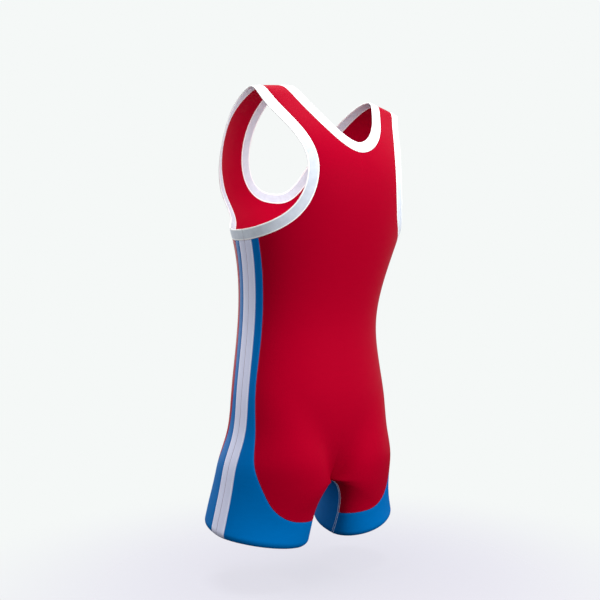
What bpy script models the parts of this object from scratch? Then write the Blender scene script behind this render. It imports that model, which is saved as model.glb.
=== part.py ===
"""Wrestling singlet, men's medium, filled out as it is worn.

Metres, +Z up. X points to the wearer's left and Y to the wearer's back. The origin is midway
between the shoulder straps, at the height where they bear on the shoulders.

A place on the cloth is a pair (turn, rise). Turn runs round the garment's left half, from 0 at
the centre front or the inseam, through 0.5 at the side seam, to 1 at the centre back or the
inseam again. Rise is 0 at the chest, negative below it, and above it follows the straps up to
the shoulder line. Every piece is cut from this one surface, so its edges meet its neighbours.
"""
import math

import bmesh
import bpy
import numpy as np

# Cloth and seams
CLOTH = 0.0015             # knit body cloth
BINDING_CLOTH = 0.0021     # folded elastic binding
BINDING_PROUD = 0.0003     # how far the binding stands over the body cloth on each side
SEAM_GAP = 0.0003          # between neighbouring pieces
BINDING_WIDTH = 0.019
STRIPE_WIDTH = 0.019       # one half of the side stripe

# Trunk and leg sections: half the width, the depths in front of and behind the side seam, and
# the side seam's place from front to back
SECTIONS = (
    # name, height, half_width, front, back, side_y
    ("chest", -0.150, 0.174, 0.145, 0.127, -0.030),
    ("ribs", -0.214, 0.161, 0.126, 0.115, -0.028),
    ("waist", -0.393, 0.129, 0.104, 0.091, -0.054),
    ("hip", -0.523, 0.144, 0.112, 0.095, -0.051),
    ("seat", -0.583, 0.151, 0.119, 0.091, -0.052),
    ("low seat", -0.628, 0.164, 0.122, 0.084, -0.056),
    ("crotch", -0.664, 0.170, 0.123, 0.068, -0.059),
    ("thigh", -0.710, 0.179, 0.123, 0.053, -0.062),
    ("hem", -0.760, 0.190, 0.124, 0.059, -0.064),
)
CHEST_Z, CHEST_HALF_WIDTH = SECTIONS[0][1], SECTIONS[0][2]
CROTCH_Z, HEM_Z = SECTIONS[-3][1], SECTIONS[-1][1]
CHEST_HEIGHT = -CHEST_Z
SECTION_POWER = 2.4        # 2 is an ellipse, more is squarer

# Shoulders
SHOULDER_RISE = CHEST_HEIGHT * math.pi / 2
STRAP_MIDDLE = 0.122       # from the centre, where the straps bear at height 0
SHOULDER_SLOPE = 0.7       # drop in metres for each square metre of distance from the centre
FRONT_HOLLOW = 0.15        # how far the straps draw in between chest and shoulder
BACK_HOLLOW = 0.39
TOP_POWER = 8              # how near the top the straps round over the shoulders

# Crotch and legs
CROTCH_Y = 0.006
CROTCH_CURVE = 0.100       # height over which the centre lines curve under
LEG_BLEND = 0.200          # how far above the crotch the trunk begins to divide into legs
LEG_DROP = 0.060           # and how far below it the outsides of the legs are done
LEG_OPENING = 0.110        # height over which the insides of the legs part
FORK_POWER = 5             # how close to the centre the fork stays
FRONT_TUCK = 0.016         # how far the front draws in towards the crotch
TUCK_TOP, TUCK_HEIGHT = -0.460, 0.140    # where that begins, and over what height
CREASE_POWER = 30
INSEAM_GAP = 0.032         # from the centre to the inseam at the hem
INSEAM_HEM_Y = -0.024
INSEAM_POWER = 3.1
HEM_ROLL = 0.014           # radius of the turned-in leg hem
HEM_ROLL_HEIGHT = 0.0125   # height over which it turns in
HEM_OUTER_RISE = 0.14      # the hem climbs towards the outside of the leg
HEM_BACK_DROP = 0.09       # and drops towards the back
LEG_CENTRE_X, LEG_RADIUS = 0.095, 0.085

# Neckline: half its width at the shoulder, the rise of its lowest point, its squareness
NECK_HALF_WIDTH = 0.086
FRONT_NECK = (0.006, 2.6)
BACK_NECK = (0.056, 1.8)

# Armhole from the front shoulder, under the arm, to the back shoulder
ARMHOLE = (
    # place, share of the height from underarm to shoulder, distance from the centre, side
    ("front shoulder", 1.00, 0.158, "front"),
    ("front strap", 0.62, 0.166, "front"),
    ("front chest", 0.33, 0.150, "front"),
    ("front underarm", 0.12, 0.126, "front"),
    ("underarm", 0.00, None, "side"),
    ("back underarm", 0.12, 0.118, "back"),
    ("shoulder blade", 0.33, 0.101, "back"),
    ("back strap", 0.62, 0.137, "back"),
    ("back shoulder", 1.00, 0.158, "back"),
)
UNDERARM_RISE = -0.085
ARMHOLE_TURN_SCALE = 0.5   # metres that one unit of turn counts for along the armhole curve
ARMHOLE_KNOT_POWER = 0.75

# Where the red body meets the blue side panels: first beside the stripe, then across the leg to
# the inseam
FRONT_END_Z, BACK_END_Z = -0.667, -0.728
FRONT_STRIP = (
    # height, distance from the side seam
    (-0.320, 0.036), (-0.420, 0.036), (-0.550, 0.038), (-0.595, 0.047), (-0.630, 0.062),
)
FRONT_LEG = (
    # height, turn
    (-0.645, 0.360), (-0.655, 0.290), (-0.661, 0.210), (-0.6645, 0.130), (-0.6665, 0.060),
    (FRONT_END_Z, 0.0),
)
BACK_STRIP = (
    (-0.320, 0.036), (-0.420, 0.036), (-0.550, 0.038), (-0.587, 0.044), (-0.624, 0.055),
)
BACK_LEG = (
    (-0.659, 0.652), (-0.6825, 0.684), (-0.7015, 0.720), (-0.7145, 0.762), (-0.721, 0.803),
    (-0.724, 0.850), (-0.7265, 0.930), (BACK_END_Z, 1.0),
)
STRIP_WIDTH = FRONT_STRIP[0][1]
KNEE_Z = -0.640            # below this the side panels widen over the legs

# Mesh counts
ARMHOLE_ROWS = 17          # shoulder to the side panel
STRIP_ROWS = 14            # armhole to KNEE_Z
CROTCH_ROWS = 6            # crotch to the end of the red on the back, the first to its front
INSEAM_ROWS = 5            # from there to the hem's roll
FAN_ROWS = 12              # KNEE_Z to the crotch
HEM_STEPS = (0.018, 0.0125, 0.0088, 0.0056, 0.0026, 0.0)    # heights of the last rows above the hem
FRONT_NECK_ROWS = 14
BACK_NECK_ROWS = 13
BODY_COLUMNS = 9
STRIP_COLUMNS = 2
BINDING_COLUMNS = 2
CURVE_SAMPLES = 400        # points on a curve before it is cut into rows
BEND_LENGTH = 0.05         # length that one radian of bend counts for between rows
SLOPE_STEP = 1e-5          # step for the surface's slopes
MERGE = 2e-5               # corners closer than this are one

RED = (0.56, 0.0, 0.03)
BLUE = (0.0, 0.13, 0.42)
WHITE = (0.86, 0.86, 0.88)
KNIT_ROUGHNESS = 0.55
CUT_EDGE_ANGLE = math.radians(50)


# The surface

def spline(knots, values, at, start_slope=None, end_slope=None):
    """Cubic curve through the values; an end without a slope is left straight."""
    knots, values = np.asarray(knots, float), np.asarray(values, float)
    steps = np.diff(knots)
    rates = np.diff(values, axis=0) / steps[:, None]
    count = len(knots)
    matrix, right = np.zeros((count, count)), np.zeros_like(values)
    for i in range(1, count - 1):
        matrix[i, i - 1:i + 2] = steps[i], 2 * (steps[i] + steps[i - 1]), steps[i - 1]
        right[i] = 3 * (steps[i] * rates[i - 1] + steps[i - 1] * rates[i])
    matrix[0, :2], right[0] = (2, 1), 3 * rates[0]
    matrix[-1, -2:], right[-1] = (1, 2), 3 * rates[-1]
    if start_slope is not None:
        matrix[0, :2], right[0] = (1, 0), start_slope
    if end_slope is not None:
        matrix[-1, -2:], right[-1] = (0, 1), end_slope
    slopes = np.linalg.solve(matrix, right)
    at = np.asarray(at, float)
    k = np.clip(np.searchsorted(knots, at, side="right") - 1, 0, count - 2)
    step = steps[k][..., None]
    u = ((at - knots[k]) / steps[k])[..., None]
    return ((1 + 2 * u) * (1 - u) ** 2 * values[k] + u * (1 - u) ** 2 * step * slopes[k]
            + u * u * (3 - 2 * u) * values[k + 1] + u * u * (u - 1) * step * slopes[k + 1])


def ease(share):
    """0 to 1 with level ends."""
    share = np.clip(share, 0, 1)
    return share * share * (3 - 2 * share)


def section(height):
    """Half width, front depth, back depth and side seam place at a height."""
    rows = SECTIONS[::-1]
    return np.moveaxis(spline([row[1] for row in rows], [row[2:] for row in rows],
                              np.minimum(height, CHEST_Z), end_slope=0.0), -1, 0)


def round_section(turn):
    """Sine and cosine of a squared ellipse, so that the section is a soft oblong."""
    sine, cosine = np.sin(np.pi * turn), np.cos(np.pi * turn)
    size = (np.abs(sine) ** SECTION_POWER + np.abs(cosine) ** SECTION_POWER) ** (1 / SECTION_POWER)
    return sine / size, cosine / size


def inseam(height, closeness):
    """The inseam's distance from the centre and its place from front to back.

    closeness is 1 on the inseam itself, where the gap opens like an arch, and falls to 0 on the
    rest of the leg, where it opens slowly.
    """
    share = np.clip((CROTCH_Z - height) / (CROTCH_Z - HEM_Z), 0, 1.3)
    arch = np.sqrt(1 - np.maximum(1 - share, 0) ** INSEAM_POWER)
    slow = ease((CROTCH_Z + LEG_OPENING / 2 - height) / LEG_OPENING)
    return (INSEAM_GAP * (slow + (arch - slow) * closeness),
            CROTCH_Y + (INSEAM_HEM_Y - CROTCH_Y) * share ** 1.5)


def hem_rise(x, y):
    """The rise of the leg hem's edge under a point of the leg."""
    return (HEM_Z - CHEST_Z + HEM_OUTER_RISE * (x - LEG_CENTRE_X)
            - HEM_BACK_DROP * (y - SECTIONS[-1][5]))


def surface(turn, rise):
    """The point of the cloth's outer face at a turn and a rise."""
    turn, rise = np.broadcast_arrays(np.asarray(turn, float), np.asarray(rise, float))
    height = np.minimum(rise, 0) + CHEST_Z
    half_width, front, back, side_y = section(height)
    sine, cosine = round_section(turn)
    is_front = turn < 0.5
    # Above the chest each line rises and leans over to the shoulder line
    lean = np.clip(rise, 0, None) / CHEST_HEIGHT
    hollow = np.where(is_front, FRONT_HOLLOW, BACK_HOLLOW)
    x = half_width * sine
    shoulder_z = CLOTH - SHOULDER_SLOPE * (x * x - STRAP_MIDDLE ** 2)
    z = height + (shoulder_z - CHEST_Z) * np.sin(lean)
    y = np.cos(lean) * (side_y * (1 - np.sin(lean) ** TOP_POWER)
                        - np.where(is_front, front, back) * cosine
                        * (1 - hollow * np.sin(lean) ** 2))
    # Below the hips the half trunk closes into a leg. The centre lines curve under like a
    # quarter of an ellipse; away from them the change is softer, and ends below the crotch
    nearness = np.abs(np.cos(np.pi * turn))
    at_centre = nearness ** FORK_POWER
    tuck = FRONT_TUCK * ease((TUCK_TOP - height) / TUCK_HEIGHT) * at_centre
    y = y + np.where(is_front, tuck, 0)
    start = LEG_BLEND + (CROTCH_CURVE - LEG_BLEND) * at_centre
    end = LEG_DROP * (1 - at_centre)
    under = np.clip((CROTCH_Z + start - height) / (start + end), 0, 1)
    share = 1 - (1 - under * under) ** (2 - 1.5 * nearness ** CREASE_POWER)
    gap, inseam_y = inseam(height, nearness ** CREASE_POWER)
    round_leg = 2 * np.pi * turn
    leg_x = (half_width + gap) / 2 - (half_width - gap) / 2 * np.cos(round_leg)
    leg_y = (side_y + (inseam_y - side_y) * (0.5 + 0.5 * np.cos(round_leg))
             - np.where(np.sin(round_leg) > 0, front, back) * np.sin(round_leg))
    x, y = x + (leg_x - x) * share, y + (leg_y - y) * share
    # The last few millimetres of the leg roll inwards
    drop = np.clip(HEM_ROLL_HEIGHT - (rise - hem_rise(x, y)), 0, 0.95 * HEM_ROLL)
    shrink = 1 - (HEM_ROLL - np.sqrt(HEM_ROLL ** 2 - drop * drop)) / LEG_RADIUS
    shrink = np.where(height < CROTCH_Z, shrink, 1)
    centre_x, centre_y = (half_width + gap) / 2, side_y + (back - front) / 2
    return np.stack([centre_x + (x - centre_x) * shrink,
                     centre_y + (y - centre_y) * shrink, z], -1)


def slopes(places):
    """How the surface moves with turn and with rise."""
    turn, rise = places[..., 0], places[..., 1]
    step = SLOPE_STEP
    before, after = np.clip(turn - step, 0, 1 - step), np.clip(turn + step, step, 1)
    along_turn = (surface(after, rise) - surface(before, rise)) / (after - before)[..., None]
    along_rise = (surface(turn, rise + step) - surface(turn, rise - step)) / (2 * step)
    return along_turn, along_rise


def normal(places):
    """The surface's outward direction. On the centre plane it keeps to that plane."""
    along_turn, along_rise = slopes(places)
    out = np.cross(along_turn, along_rise)
    on_centre = np.abs(surface(places[..., 0], places[..., 1])[..., 0]) < 1e-6
    out[..., 0] = np.where(on_centre, 0, out[..., 0])
    return out / np.linalg.norm(out, axis=-1, keepdims=True)


# Curves on the surface, as rows of (turn, rise)

def lengths(path):
    """Distance along the cloth from the path's start to each of its points."""
    points = surface(path[:, 0], path[:, 1])
    return np.concatenate([[0], np.cumsum(np.linalg.norm(np.diff(points, axis=0), axis=1))])


def at_index(path, index):
    """The path's places at fractional indices."""
    return np.stack([np.interp(index, np.arange(len(path)), path[:, k]) for k in (0, 1)], 1)


def turning(directions):
    """How far a row of directions has turned by each of them, in radians."""
    bends = np.arccos(np.clip((directions[1:] * directions[:-1]).sum(1), -1, 1))
    return np.concatenate([[0], np.cumsum(bends)])


def even(path, rows, start=0, end=None, bend_length=BEND_LENGTH):
    """Indices that cut the path between two of them into even rows, closer in bends and twists."""
    end = len(path) - 1 if end is None else end
    index = np.arange(len(path))
    heading = np.gradient(surface(path[:, 0], path[:, 1]), axis=0)
    heading /= np.linalg.norm(heading, axis=1, keepdims=True)
    run = lengths(path) + bend_length * (turning(heading) + turning(normal(path)))
    ends = np.interp([start, end], index, run)
    return np.interp(np.linspace(*ends, rows + 1), run, index)


def cut(path, rows, start=0, end=None):
    """The path between two indices, in even rows."""
    return at_index(path, even(path, rows, start, end))


def chain(*paths):
    """Paths end to end, with each shared point once."""
    return np.concatenate([paths[0]] + [path[1:] for path in paths[1:]])


def between(start, end, columns):
    """A straight path between two places."""
    return np.linspace(start, end, columns + 1)


def upright(turns, rises):
    """A path through the given turns and rises."""
    return np.stack(np.broadcast_arrays(turns, rises), 1).astype(float)


def settle(places, points):
    """The places of the surface nearest to points, from places close to them."""
    for _ in range(4):
        frames = np.stack(slopes(places), -1)
        misses = points - surface(places[..., 0], places[..., 1])
        places = places + (np.linalg.pinv(frames) @ misses[..., None])[..., 0]
    return places


def sideways(path, distance):
    """The places a distance to the path's left along the cloth, seen from outside."""
    heading = np.gradient(surface(path[:, 0], path[:, 1]), axis=0)
    heading /= np.linalg.norm(heading, axis=1, keepdims=True)
    across = np.cross(normal(path), heading)
    places = path
    for _ in range(4):
        points = surface(places[:, 0], places[:, 1])
        places = settle(places, points + across * distance / 4)
    return places


def turn_at(rise, distance):
    """The turn at a distance from the side seam along the level line, positive to the back."""
    turns = np.linspace(0, 1, CURVE_SAMPLES + 1)
    run = lengths(upright(turns, rise))
    return np.interp(distance, run - run[CURVE_SAMPLES // 2], turns)


def side_distance(place):
    """The distance from the side seam along the level line, positive to the back."""
    run = lengths(upright(np.linspace(0.5, place[0], 21), place[1]))[-1]
    return math.copysign(run, place[0] - 0.5)


def turn_of(x, side):
    """The turn above the chest at a distance from the centre."""
    share = x / CHEST_HALF_WIDTH
    angle = math.atan2(share, (1 - share ** SECTION_POWER) ** (1 / SECTION_POWER))
    return angle / math.pi if side == "front" else 1 - angle / math.pi


def neck_edge(side):
    """From the shoulder to the centre."""
    lowest, power = FRONT_NECK if side == "front" else BACK_NECK
    angle = np.linspace(math.pi / 2, 0, CURVE_SAMPLES + 1)
    size = (np.sin(angle) ** power + np.cos(angle) ** power) ** (1 / power)
    x = NECK_HALF_WIDTH * np.sin(angle) / size
    rise = SHOULDER_RISE - (SHOULDER_RISE - lowest) * np.cos(angle) / size
    rise[0] = SHOULDER_RISE
    return upright([turn_of(value, side) for value in x], rise)


def armhole_edge():
    """From the front shoulder, under the arm, to the back shoulder."""
    height = SHOULDER_RISE - UNDERARM_RISE
    knots = np.array([(0.5 if x is None else turn_of(x, side), UNDERARM_RISE + height * share)
                      for _, share, x, side in ARMHOLE])
    spans = np.linalg.norm(np.diff(knots, axis=0) * (ARMHOLE_TURN_SCALE, 1), axis=1)
    run = np.concatenate([[0], np.cumsum(spans ** ARMHOLE_KNOT_POWER)])
    level = height * (1 - ARMHOLE[1][1]) / run[1]
    path = spline(run, knots, np.linspace(0, run[-1], CURVE_SAMPLES + 1),
                  start_slope=(0, -level), end_slope=(0, level))
    path[[0, -1], 1] = SHOULDER_RISE
    return path


def panel_edge(start_rise, sign, strip, leg):
    """Where red meets blue, from the armhole to the inseam."""
    knots = [(turn_at(start_rise, sign * STRIP_WIDTH), start_rise)]
    knots += [(turn_at(height - CHEST_Z, sign * distance), height - CHEST_Z)
              for height, distance in strip]
    knots += [(turn, height - CHEST_Z) for height, turn in leg]
    knots = np.array(knots)
    spans = np.linalg.norm(np.diff(knots, axis=0) * (ARMHOLE_TURN_SCALE, 1), axis=1)
    run = np.concatenate([[0], np.cumsum(spans)])
    path = spline(run, knots, np.linspace(0, run[-1], CURVE_SAMPLES + 1))
    path[-1] = knots[-1]
    return path


# Seams shared by the pieces

def hem_under(turn):
    """The hem's rise at a turn."""
    rise = HEM_Z - CHEST_Z
    for _ in range(6):
        x, y, _ = surface(turn, rise)
        rise = float(hem_rise(x, y))
    return rise


def side_line(distance, start, leg_rows):
    """A line down the side at a distance from the side seam, from the armhole to the hem."""
    hem = hem_under(turn_at(HEM_Z - CHEST_Z, distance))
    rises = np.concatenate([
        np.linspace(start, KNEE_Z - CHEST_Z, STRIP_ROWS + 1),
        np.linspace(KNEE_Z - CHEST_Z, hem + HEM_STEPS[0], leg_rows + 1)[1:],
        hem + np.array(HEM_STEPS[1:])])
    return upright([turn_at(rise, distance) for rise in rises], rises)


def inseam_line(turn):
    """The inseam from the crotch to the hem, past the ends of the red at its front and back."""
    crotch, front_end, back_end = (z - CHEST_Z for z in (CROTCH_Z, FRONT_END_Z, BACK_END_Z))
    hem = hem_under(turn)
    return upright(turn, np.concatenate([
        [crotch], front_end + (back_end - front_end) * np.linspace(0, 1, CROTCH_ROWS) ** 1.5,
        np.linspace(back_end, hem + HEM_STEPS[0], INSEAM_ROWS + 1)[1:],
        hem + np.array(HEM_STEPS[1:])]))


def centre_line(turn, start, armhole_bottom, rows_above):
    """The centre front or back from the neck seam to the crotch."""
    under = upright(turn, CROTCH_Z - CHEST_Z + (KNEE_Z - CROTCH_Z)
                    * np.linspace(1, 0, CURVE_SAMPLES) ** 2)
    return chain(upright(turn, np.linspace(start, armhole_bottom, rows_above + 1)),
                 upright(turn, np.linspace(armhole_bottom, KNEE_Z - CHEST_Z, STRIP_ROWS + 1)),
                 at_index(under, even(under, FAN_ROWS, bend_length=0)))


def shared_seams():
    """Every seam line of the left half, cut into the rows that its two pieces share."""
    seams = {}
    edge = armhole_edge()
    seam = sideways(edge, -BINDING_WIDTH)
    seam[0] = turn_of(ARMHOLE[0][2] - BINDING_WIDTH, "front"), SHOULDER_RISE
    seam[-1] = turn_of(ARMHOLE[0][2] - BINDING_WIDTH, "back"), SHOULDER_RISE
    low = np.flatnonzero((seam[:, 1] < 0) & (np.abs(seam[:, 0] - 0.5) < 0.2))
    marks = np.interp([-STRIP_WIDTH, -STRIPE_WIDTH, 0, STRIPE_WIDTH, STRIP_WIDTH],
                      [side_distance(seam[k]) for k in low], low)
    ends = [0, *marks, len(seam) - 1]
    rows = [ARMHOLE_ROWS, STRIP_COLUMNS, 1, 1, STRIP_COLUMNS, ARMHOLE_ROWS]
    cuts = [even(seam, *step) for step in zip(rows, ends, ends[1:])]
    seams["armhole"] = [at_index(seam, index) for index in cuts]
    ring = np.concatenate([cuts[0]] + [index[1:] for index in cuts[1:]])
    seams["armhole_ring"] = at_index(edge, ring), at_index(seam, ring)
    starts = at_index(seam, marks)[:, 1]

    for side, sign, rows in (("front", 1, FRONT_NECK_ROWS), ("back", -1, BACK_NECK_ROWS)):
        edge = neck_edge(side)
        seam = sideways(edge, sign * BINDING_WIDTH)
        seam[0] = turn_of(NECK_HALF_WIDTH + BINDING_WIDTH, side), SHOULDER_RISE
        seam[-1, 0] = edge[-1, 0]
        index = even(seam, rows)
        seams["neck_" + side] = at_index(edge, index), at_index(seam, index)

    for side, start, sign, strip, leg, fan_rows in (
            ("front", starts[0], -1, FRONT_STRIP, FRONT_LEG, FAN_ROWS + 1),
            ("back", starts[4], 1, BACK_STRIP, BACK_LEG, FAN_ROWS + CROTCH_ROWS)):
        path = panel_edge(start, sign, strip, leg)
        knee = np.interp(CHEST_Z - KNEE_Z, -path[:, 1], np.arange(len(path)))
        seams["panel_" + side] = chain(cut(path, STRIP_ROWS, 0, knee), cut(path, fan_rows, knee))
        seams["inseam_" + side] = inseam_line(path[-1, 0])
        seams["centre_" + side] = centre_line(
            path[-1, 0], seams["neck_" + side][1][-1, 1], starts[2],
            ARMHOLE_ROWS - len(seams["neck_" + side][1]) + 1)

    leg_rows = CROTCH_ROWS - 1 + INSEAM_ROWS
    seams["stripe_front"] = side_line(-STRIPE_WIDTH, starts[1], leg_rows)
    seams["side"] = side_line(0, starts[2], leg_rows)
    seams["stripe_back"] = side_line(STRIPE_WIDTH, starts[3], leg_rows)
    seams["stripe_back_panel"] = side_line(STRIPE_WIDTH, starts[3], INSEAM_ROWS)
    return seams


# Patches and pieces

def drawn_back(*edges):
    """A piece's edges with each seam drawn back by half its gap.

    Each edge is a path and whether it is sewn to a neighbour. They follow one another round the
    piece, anticlockwise seen from outside.
    """
    places = np.concatenate([path[:-1] for path, _ in edges])
    gaps = np.concatenate([np.full(len(path) - 1, SEAM_GAP / 2 * sewn) for path, sewn in edges])
    points, out = surface(places[:, 0], places[:, 1]), normal(places)
    ahead = np.roll(points, -1, axis=0) - points
    behind = np.roll(ahead, 1, axis=0)
    moves = np.empty_like(points)
    for k in range(len(points)):
        rows = [np.cross(out[k], way / np.linalg.norm(way)) for way in (behind[k], ahead[k])]
        moves[k] = np.linalg.lstsq(np.array([*rows, out[k]]), (gaps[k - 1], gaps[k], 0),
                                   rcond=0.05)[0]
    places = settle(places, points + moves)
    starts = np.cumsum([0] + [len(path) - 1 for path, _ in edges])
    places = np.concatenate([places, places[:1]])
    return [places[start:end + 1] for start, end in zip(starts, starts[1:])]


def patch(left, right, top, bottom=None):
    """A grid of places between its edges; left and right run down, top and bottom run right."""
    bottom = np.repeat(left[-1:], len(top), axis=0) if bottom is None else bottom
    down = np.linspace(0, 1, len(left))[:, None, None]
    along = np.linspace(0, 1, len(top))[None, :, None]
    corners = ((1 - down) * ((1 - along) * top[0] + along * top[-1])
               + down * ((1 - along) * bottom[0] + along * bottom[-1]))
    return ((1 - down) * top + down * bottom + (1 - along) * left[:, None]
            + along * right[:, None] - corners)


def material(name, colour, roughness):
    """A plain cloth finish."""
    finish = bpy.data.materials.new(name)
    finish.use_nodes = True
    shader = finish.node_tree.nodes["Principled BSDF"]
    shader.inputs["Base Color"].default_value = (*colour, 1)
    shader.inputs["Roughness"].default_value = roughness
    shader.inputs["Metallic"].default_value = 0.0
    return finish


def triangles(a, b, c, d):
    """A cell's four corners as two triangles across its shorter diagonal."""
    if (a.co - c.co).length < (b.co - d.co).length:
        return (a, b, c), (a, c, d)
    return (a, b, d), (b, c, d)


def piece(name, patches, colour, half, cloth=CLOTH, proud=0.0):
    """One closed wall of cloth over its patches.

    half is left or right, or both for a piece that crosses the centre plane.
    """
    shape = bmesh.new()
    inside = shape.verts.layers.float_vector.new("inside")
    for grid in patches:
        out = normal(grid)
        outer = surface(grid[..., 0], grid[..., 1]) + out * proud
        corners = [[shape.verts.new(point) for point in row] for row in outer]
        for i, j in np.ndindex(outer.shape[:2]):
            corners[i][j][inside] = outer[i, j] - out[i, j] * cloth
        for upper, lower in zip(corners, corners[1:]):
            for j in range(len(upper) - 1):
                for cell in triangles(upper[j], lower[j], lower[j + 1], upper[j + 1]):
                    shape.faces.new(cell)
    bmesh.ops.remove_doubles(shape, verts=shape.verts[:], dist=MERGE)
    outer = set(shape.verts)
    bmesh.ops.solidify(shape, geom=shape.faces[:], thickness=cloth)
    for corner in set(shape.verts) - outer:
        corner.co = corner[inside]
    on_plane = [face for face in shape.faces if max(abs(v.co.x) for v in face.verts) < MERGE]
    bmesh.ops.delete(shape, geom=on_plane, context="FACES_ONLY")
    if half == "right":
        bmesh.ops.scale(shape, vec=(-1, 1, 1), verts=shape.verts[:])
        bmesh.ops.reverse_faces(shape, faces=shape.faces[:])
    mesh = bpy.data.meshes.new(name)
    shape.to_mesh(mesh)
    shape.free()
    mesh.shade_smooth()
    mesh.set_sharp_from_angle(angle=CUT_EDGE_ANGLE)
    mesh.materials.append(material(name, colour, KNIT_ROUGHNESS))
    thing = bpy.data.objects.new(name, mesh)
    GARMENT.objects.link(thing)
    if half == "both":
        mirror = thing.modifiers.new("Other half", "MIRROR")
        mirror.merge_threshold = MERGE


def front_body():
    """Chest, belly and the fronts of both straps, down to a narrow end at the crotch."""
    neck = SEAMS["neck_front"][1]
    outer = chain(SEAMS["armhole"][0], SEAMS["panel_front"])
    top = between(neck[0], outer[0], BODY_COLUMNS)
    neck, centre, leg, outer, top = drawn_back(
        (neck, True), (SEAMS["centre_front"], False), (SEAMS["inseam_front"][:2], True),
        (outer[::-1], True), (top[::-1], True))
    grid = patch(chain(neck, centre, leg), outer[::-1], top[::-1])
    piece("front_body", [grid], RED, "both")


def back_body():
    """Back, seat and the backs of both straps, with a tongue down the back of each leg."""
    neck = SEAMS["neck_back"][1]
    outer = chain(SEAMS["armhole"][5][::-1], SEAMS["panel_back"])
    leg = SEAMS["inseam_back"][:CROTCH_ROWS + 1]
    top = between(outer[0], neck[0], BODY_COLUMNS)
    outer, leg, centre, neck, top = drawn_back(
        (outer, True), (leg[::-1], True), (SEAMS["centre_back"][::-1], False),
        (neck[::-1], True), (top[::-1], True))
    grid = patch(outer, chain(neck[::-1], centre[::-1], leg[::-1]), top[::-1])
    piece("back_body", [grid], RED, "both")


def hem_rows(top, left, right):
    """The last rows of a leg, at even heights over the hem, with columns under those of top."""
    rows = []
    for step, start, end in zip(HEM_STEPS, left[-len(HEM_STEPS):], right[-len(HEM_STEPS):]):
        turns = np.interp(top[:, 0], top[[0, -1], 0], [start[0], end[0]])
        inner = [hem_under(turn) + step for turn in turns[1:-1]]
        rows.append(upright(turns, [start[1], *inner, end[1]]))
    return np.array(rows)


def leg_patch(left, right, top):
    """A patch that reaches down to the leg's hem."""
    rolled = hem_rows(top, left, right)
    flat = 1 - len(HEM_STEPS)
    return np.concatenate([patch(left[:flat], right[:flat], top, rolled[0]), rolled[1:]])


def side_panels(half):
    """The blue panels beside the stripe, which widen to cover the legs."""
    stripe = SEAMS["stripe_front"]
    edge, leg = SEAMS["panel_front"], SEAMS["inseam_front"][1:]
    across = between(edge[STRIP_ROWS], stripe[STRIP_ROWS], STRIP_COLUMNS)
    hem = hem_rows(chain(edge[STRIP_ROWS:][::-1], across), leg, stripe)[-1]
    edge, leg, hem, stripe, top = drawn_back(
        (edge, True), (leg, True), (hem, False), (stripe[::-1], True),
        (SEAMS["armhole"][1][::-1], True))
    stripe, top = stripe[::-1], top[::-1]
    across = between(edge[STRIP_ROWS], stripe[STRIP_ROWS], STRIP_COLUMNS)
    strip = patch(edge[:STRIP_ROWS + 1], stripe[:STRIP_ROWS + 1], top, across)
    cover = leg_patch(leg, stripe[STRIP_ROWS:], chain(edge[STRIP_ROWS:][::-1], across))
    piece("front_side_panel_" + half, [strip, cover], BLUE, half)

    stripe = SEAMS["stripe_back_panel"]
    edge, leg = SEAMS["panel_back"], SEAMS["inseam_back"][CROTCH_ROWS:]
    across = between(stripe[STRIP_ROWS], edge[STRIP_ROWS], STRIP_COLUMNS)
    hem = hem_rows(chain(across, edge[STRIP_ROWS:]), stripe, leg)[-1]
    stripe, hem, leg, edge, top = drawn_back(
        (stripe, True), (hem, False), (leg[::-1], True), (edge[::-1], True),
        (SEAMS["armhole"][4][::-1], True))
    leg, edge, top = leg[::-1], edge[::-1], top[::-1]
    across = between(stripe[STRIP_ROWS], edge[STRIP_ROWS], STRIP_COLUMNS)
    strip = patch(stripe[:STRIP_ROWS + 1], edge[:STRIP_ROWS + 1], top, across)
    cover = leg_patch(stripe[STRIP_ROWS:], leg, chain(across, edge[STRIP_ROWS:]))
    piece("back_side_panel_" + half, [strip, cover], BLUE, half)


def side_stripes(half):
    """The white stripe, in two halves that meet at the side seam."""
    armhole, seam = SEAMS["armhole"], SEAMS["side"]
    for side, top, left, right in (("front", armhole[2], SEAMS["stripe_front"], seam),
                                   ("back", armhole[3], seam, SEAMS["stripe_back"])):
        left, hem, right, top = drawn_back(
            (left, True), (between(left[-1], right[-1], 1), False), (right[::-1], True),
            (top[::-1], True))
        grid = patch(left, right[::-1], top[::-1], hem)
        piece(f"side_stripe_{side}_{half}", [grid], WHITE, half)


def binding(edge, seam, seam_side):
    """The strip between a bound edge and its seam."""
    left, right = (seam, edge) if seam_side == "left" else (edge, seam)
    start = between(left[0], right[0], BINDING_COLUMNS)
    end = between(left[-1], right[-1], BINDING_COLUMNS)
    left, end, right, start = drawn_back(
        (left, seam_side == "left"), (end, False), (right[::-1], seam_side == "right"),
        (start[::-1], False))
    return patch(left, right[::-1], start[::-1], end)


def neck_binding():
    patches = [binding(*SEAMS["neck_front"], "right"), binding(*SEAMS["neck_back"], "left")]
    piece("neck_binding", patches, WHITE, "both", BINDING_CLOTH, BINDING_PROUD)


def armhole_binding(half):
    patches = [binding(*SEAMS["armhole_ring"], "left")]
    piece("armhole_binding_" + half, patches, WHITE, half, BINDING_CLOTH, BINDING_PROUD)


def main():
    front_body()
    back_body()
    neck_binding()
    for half in ("left", "right"):
        side_panels(half)
        side_stripes(half)
        armhole_binding(half)


for thing in list(bpy.data.objects):
    bpy.data.objects.remove(thing)
GARMENT = bpy.data.collections.new("wrestling_singlet")
bpy.context.scene.collection.children.link(GARMENT)
SEAMS = shared_seams()
main()
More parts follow.
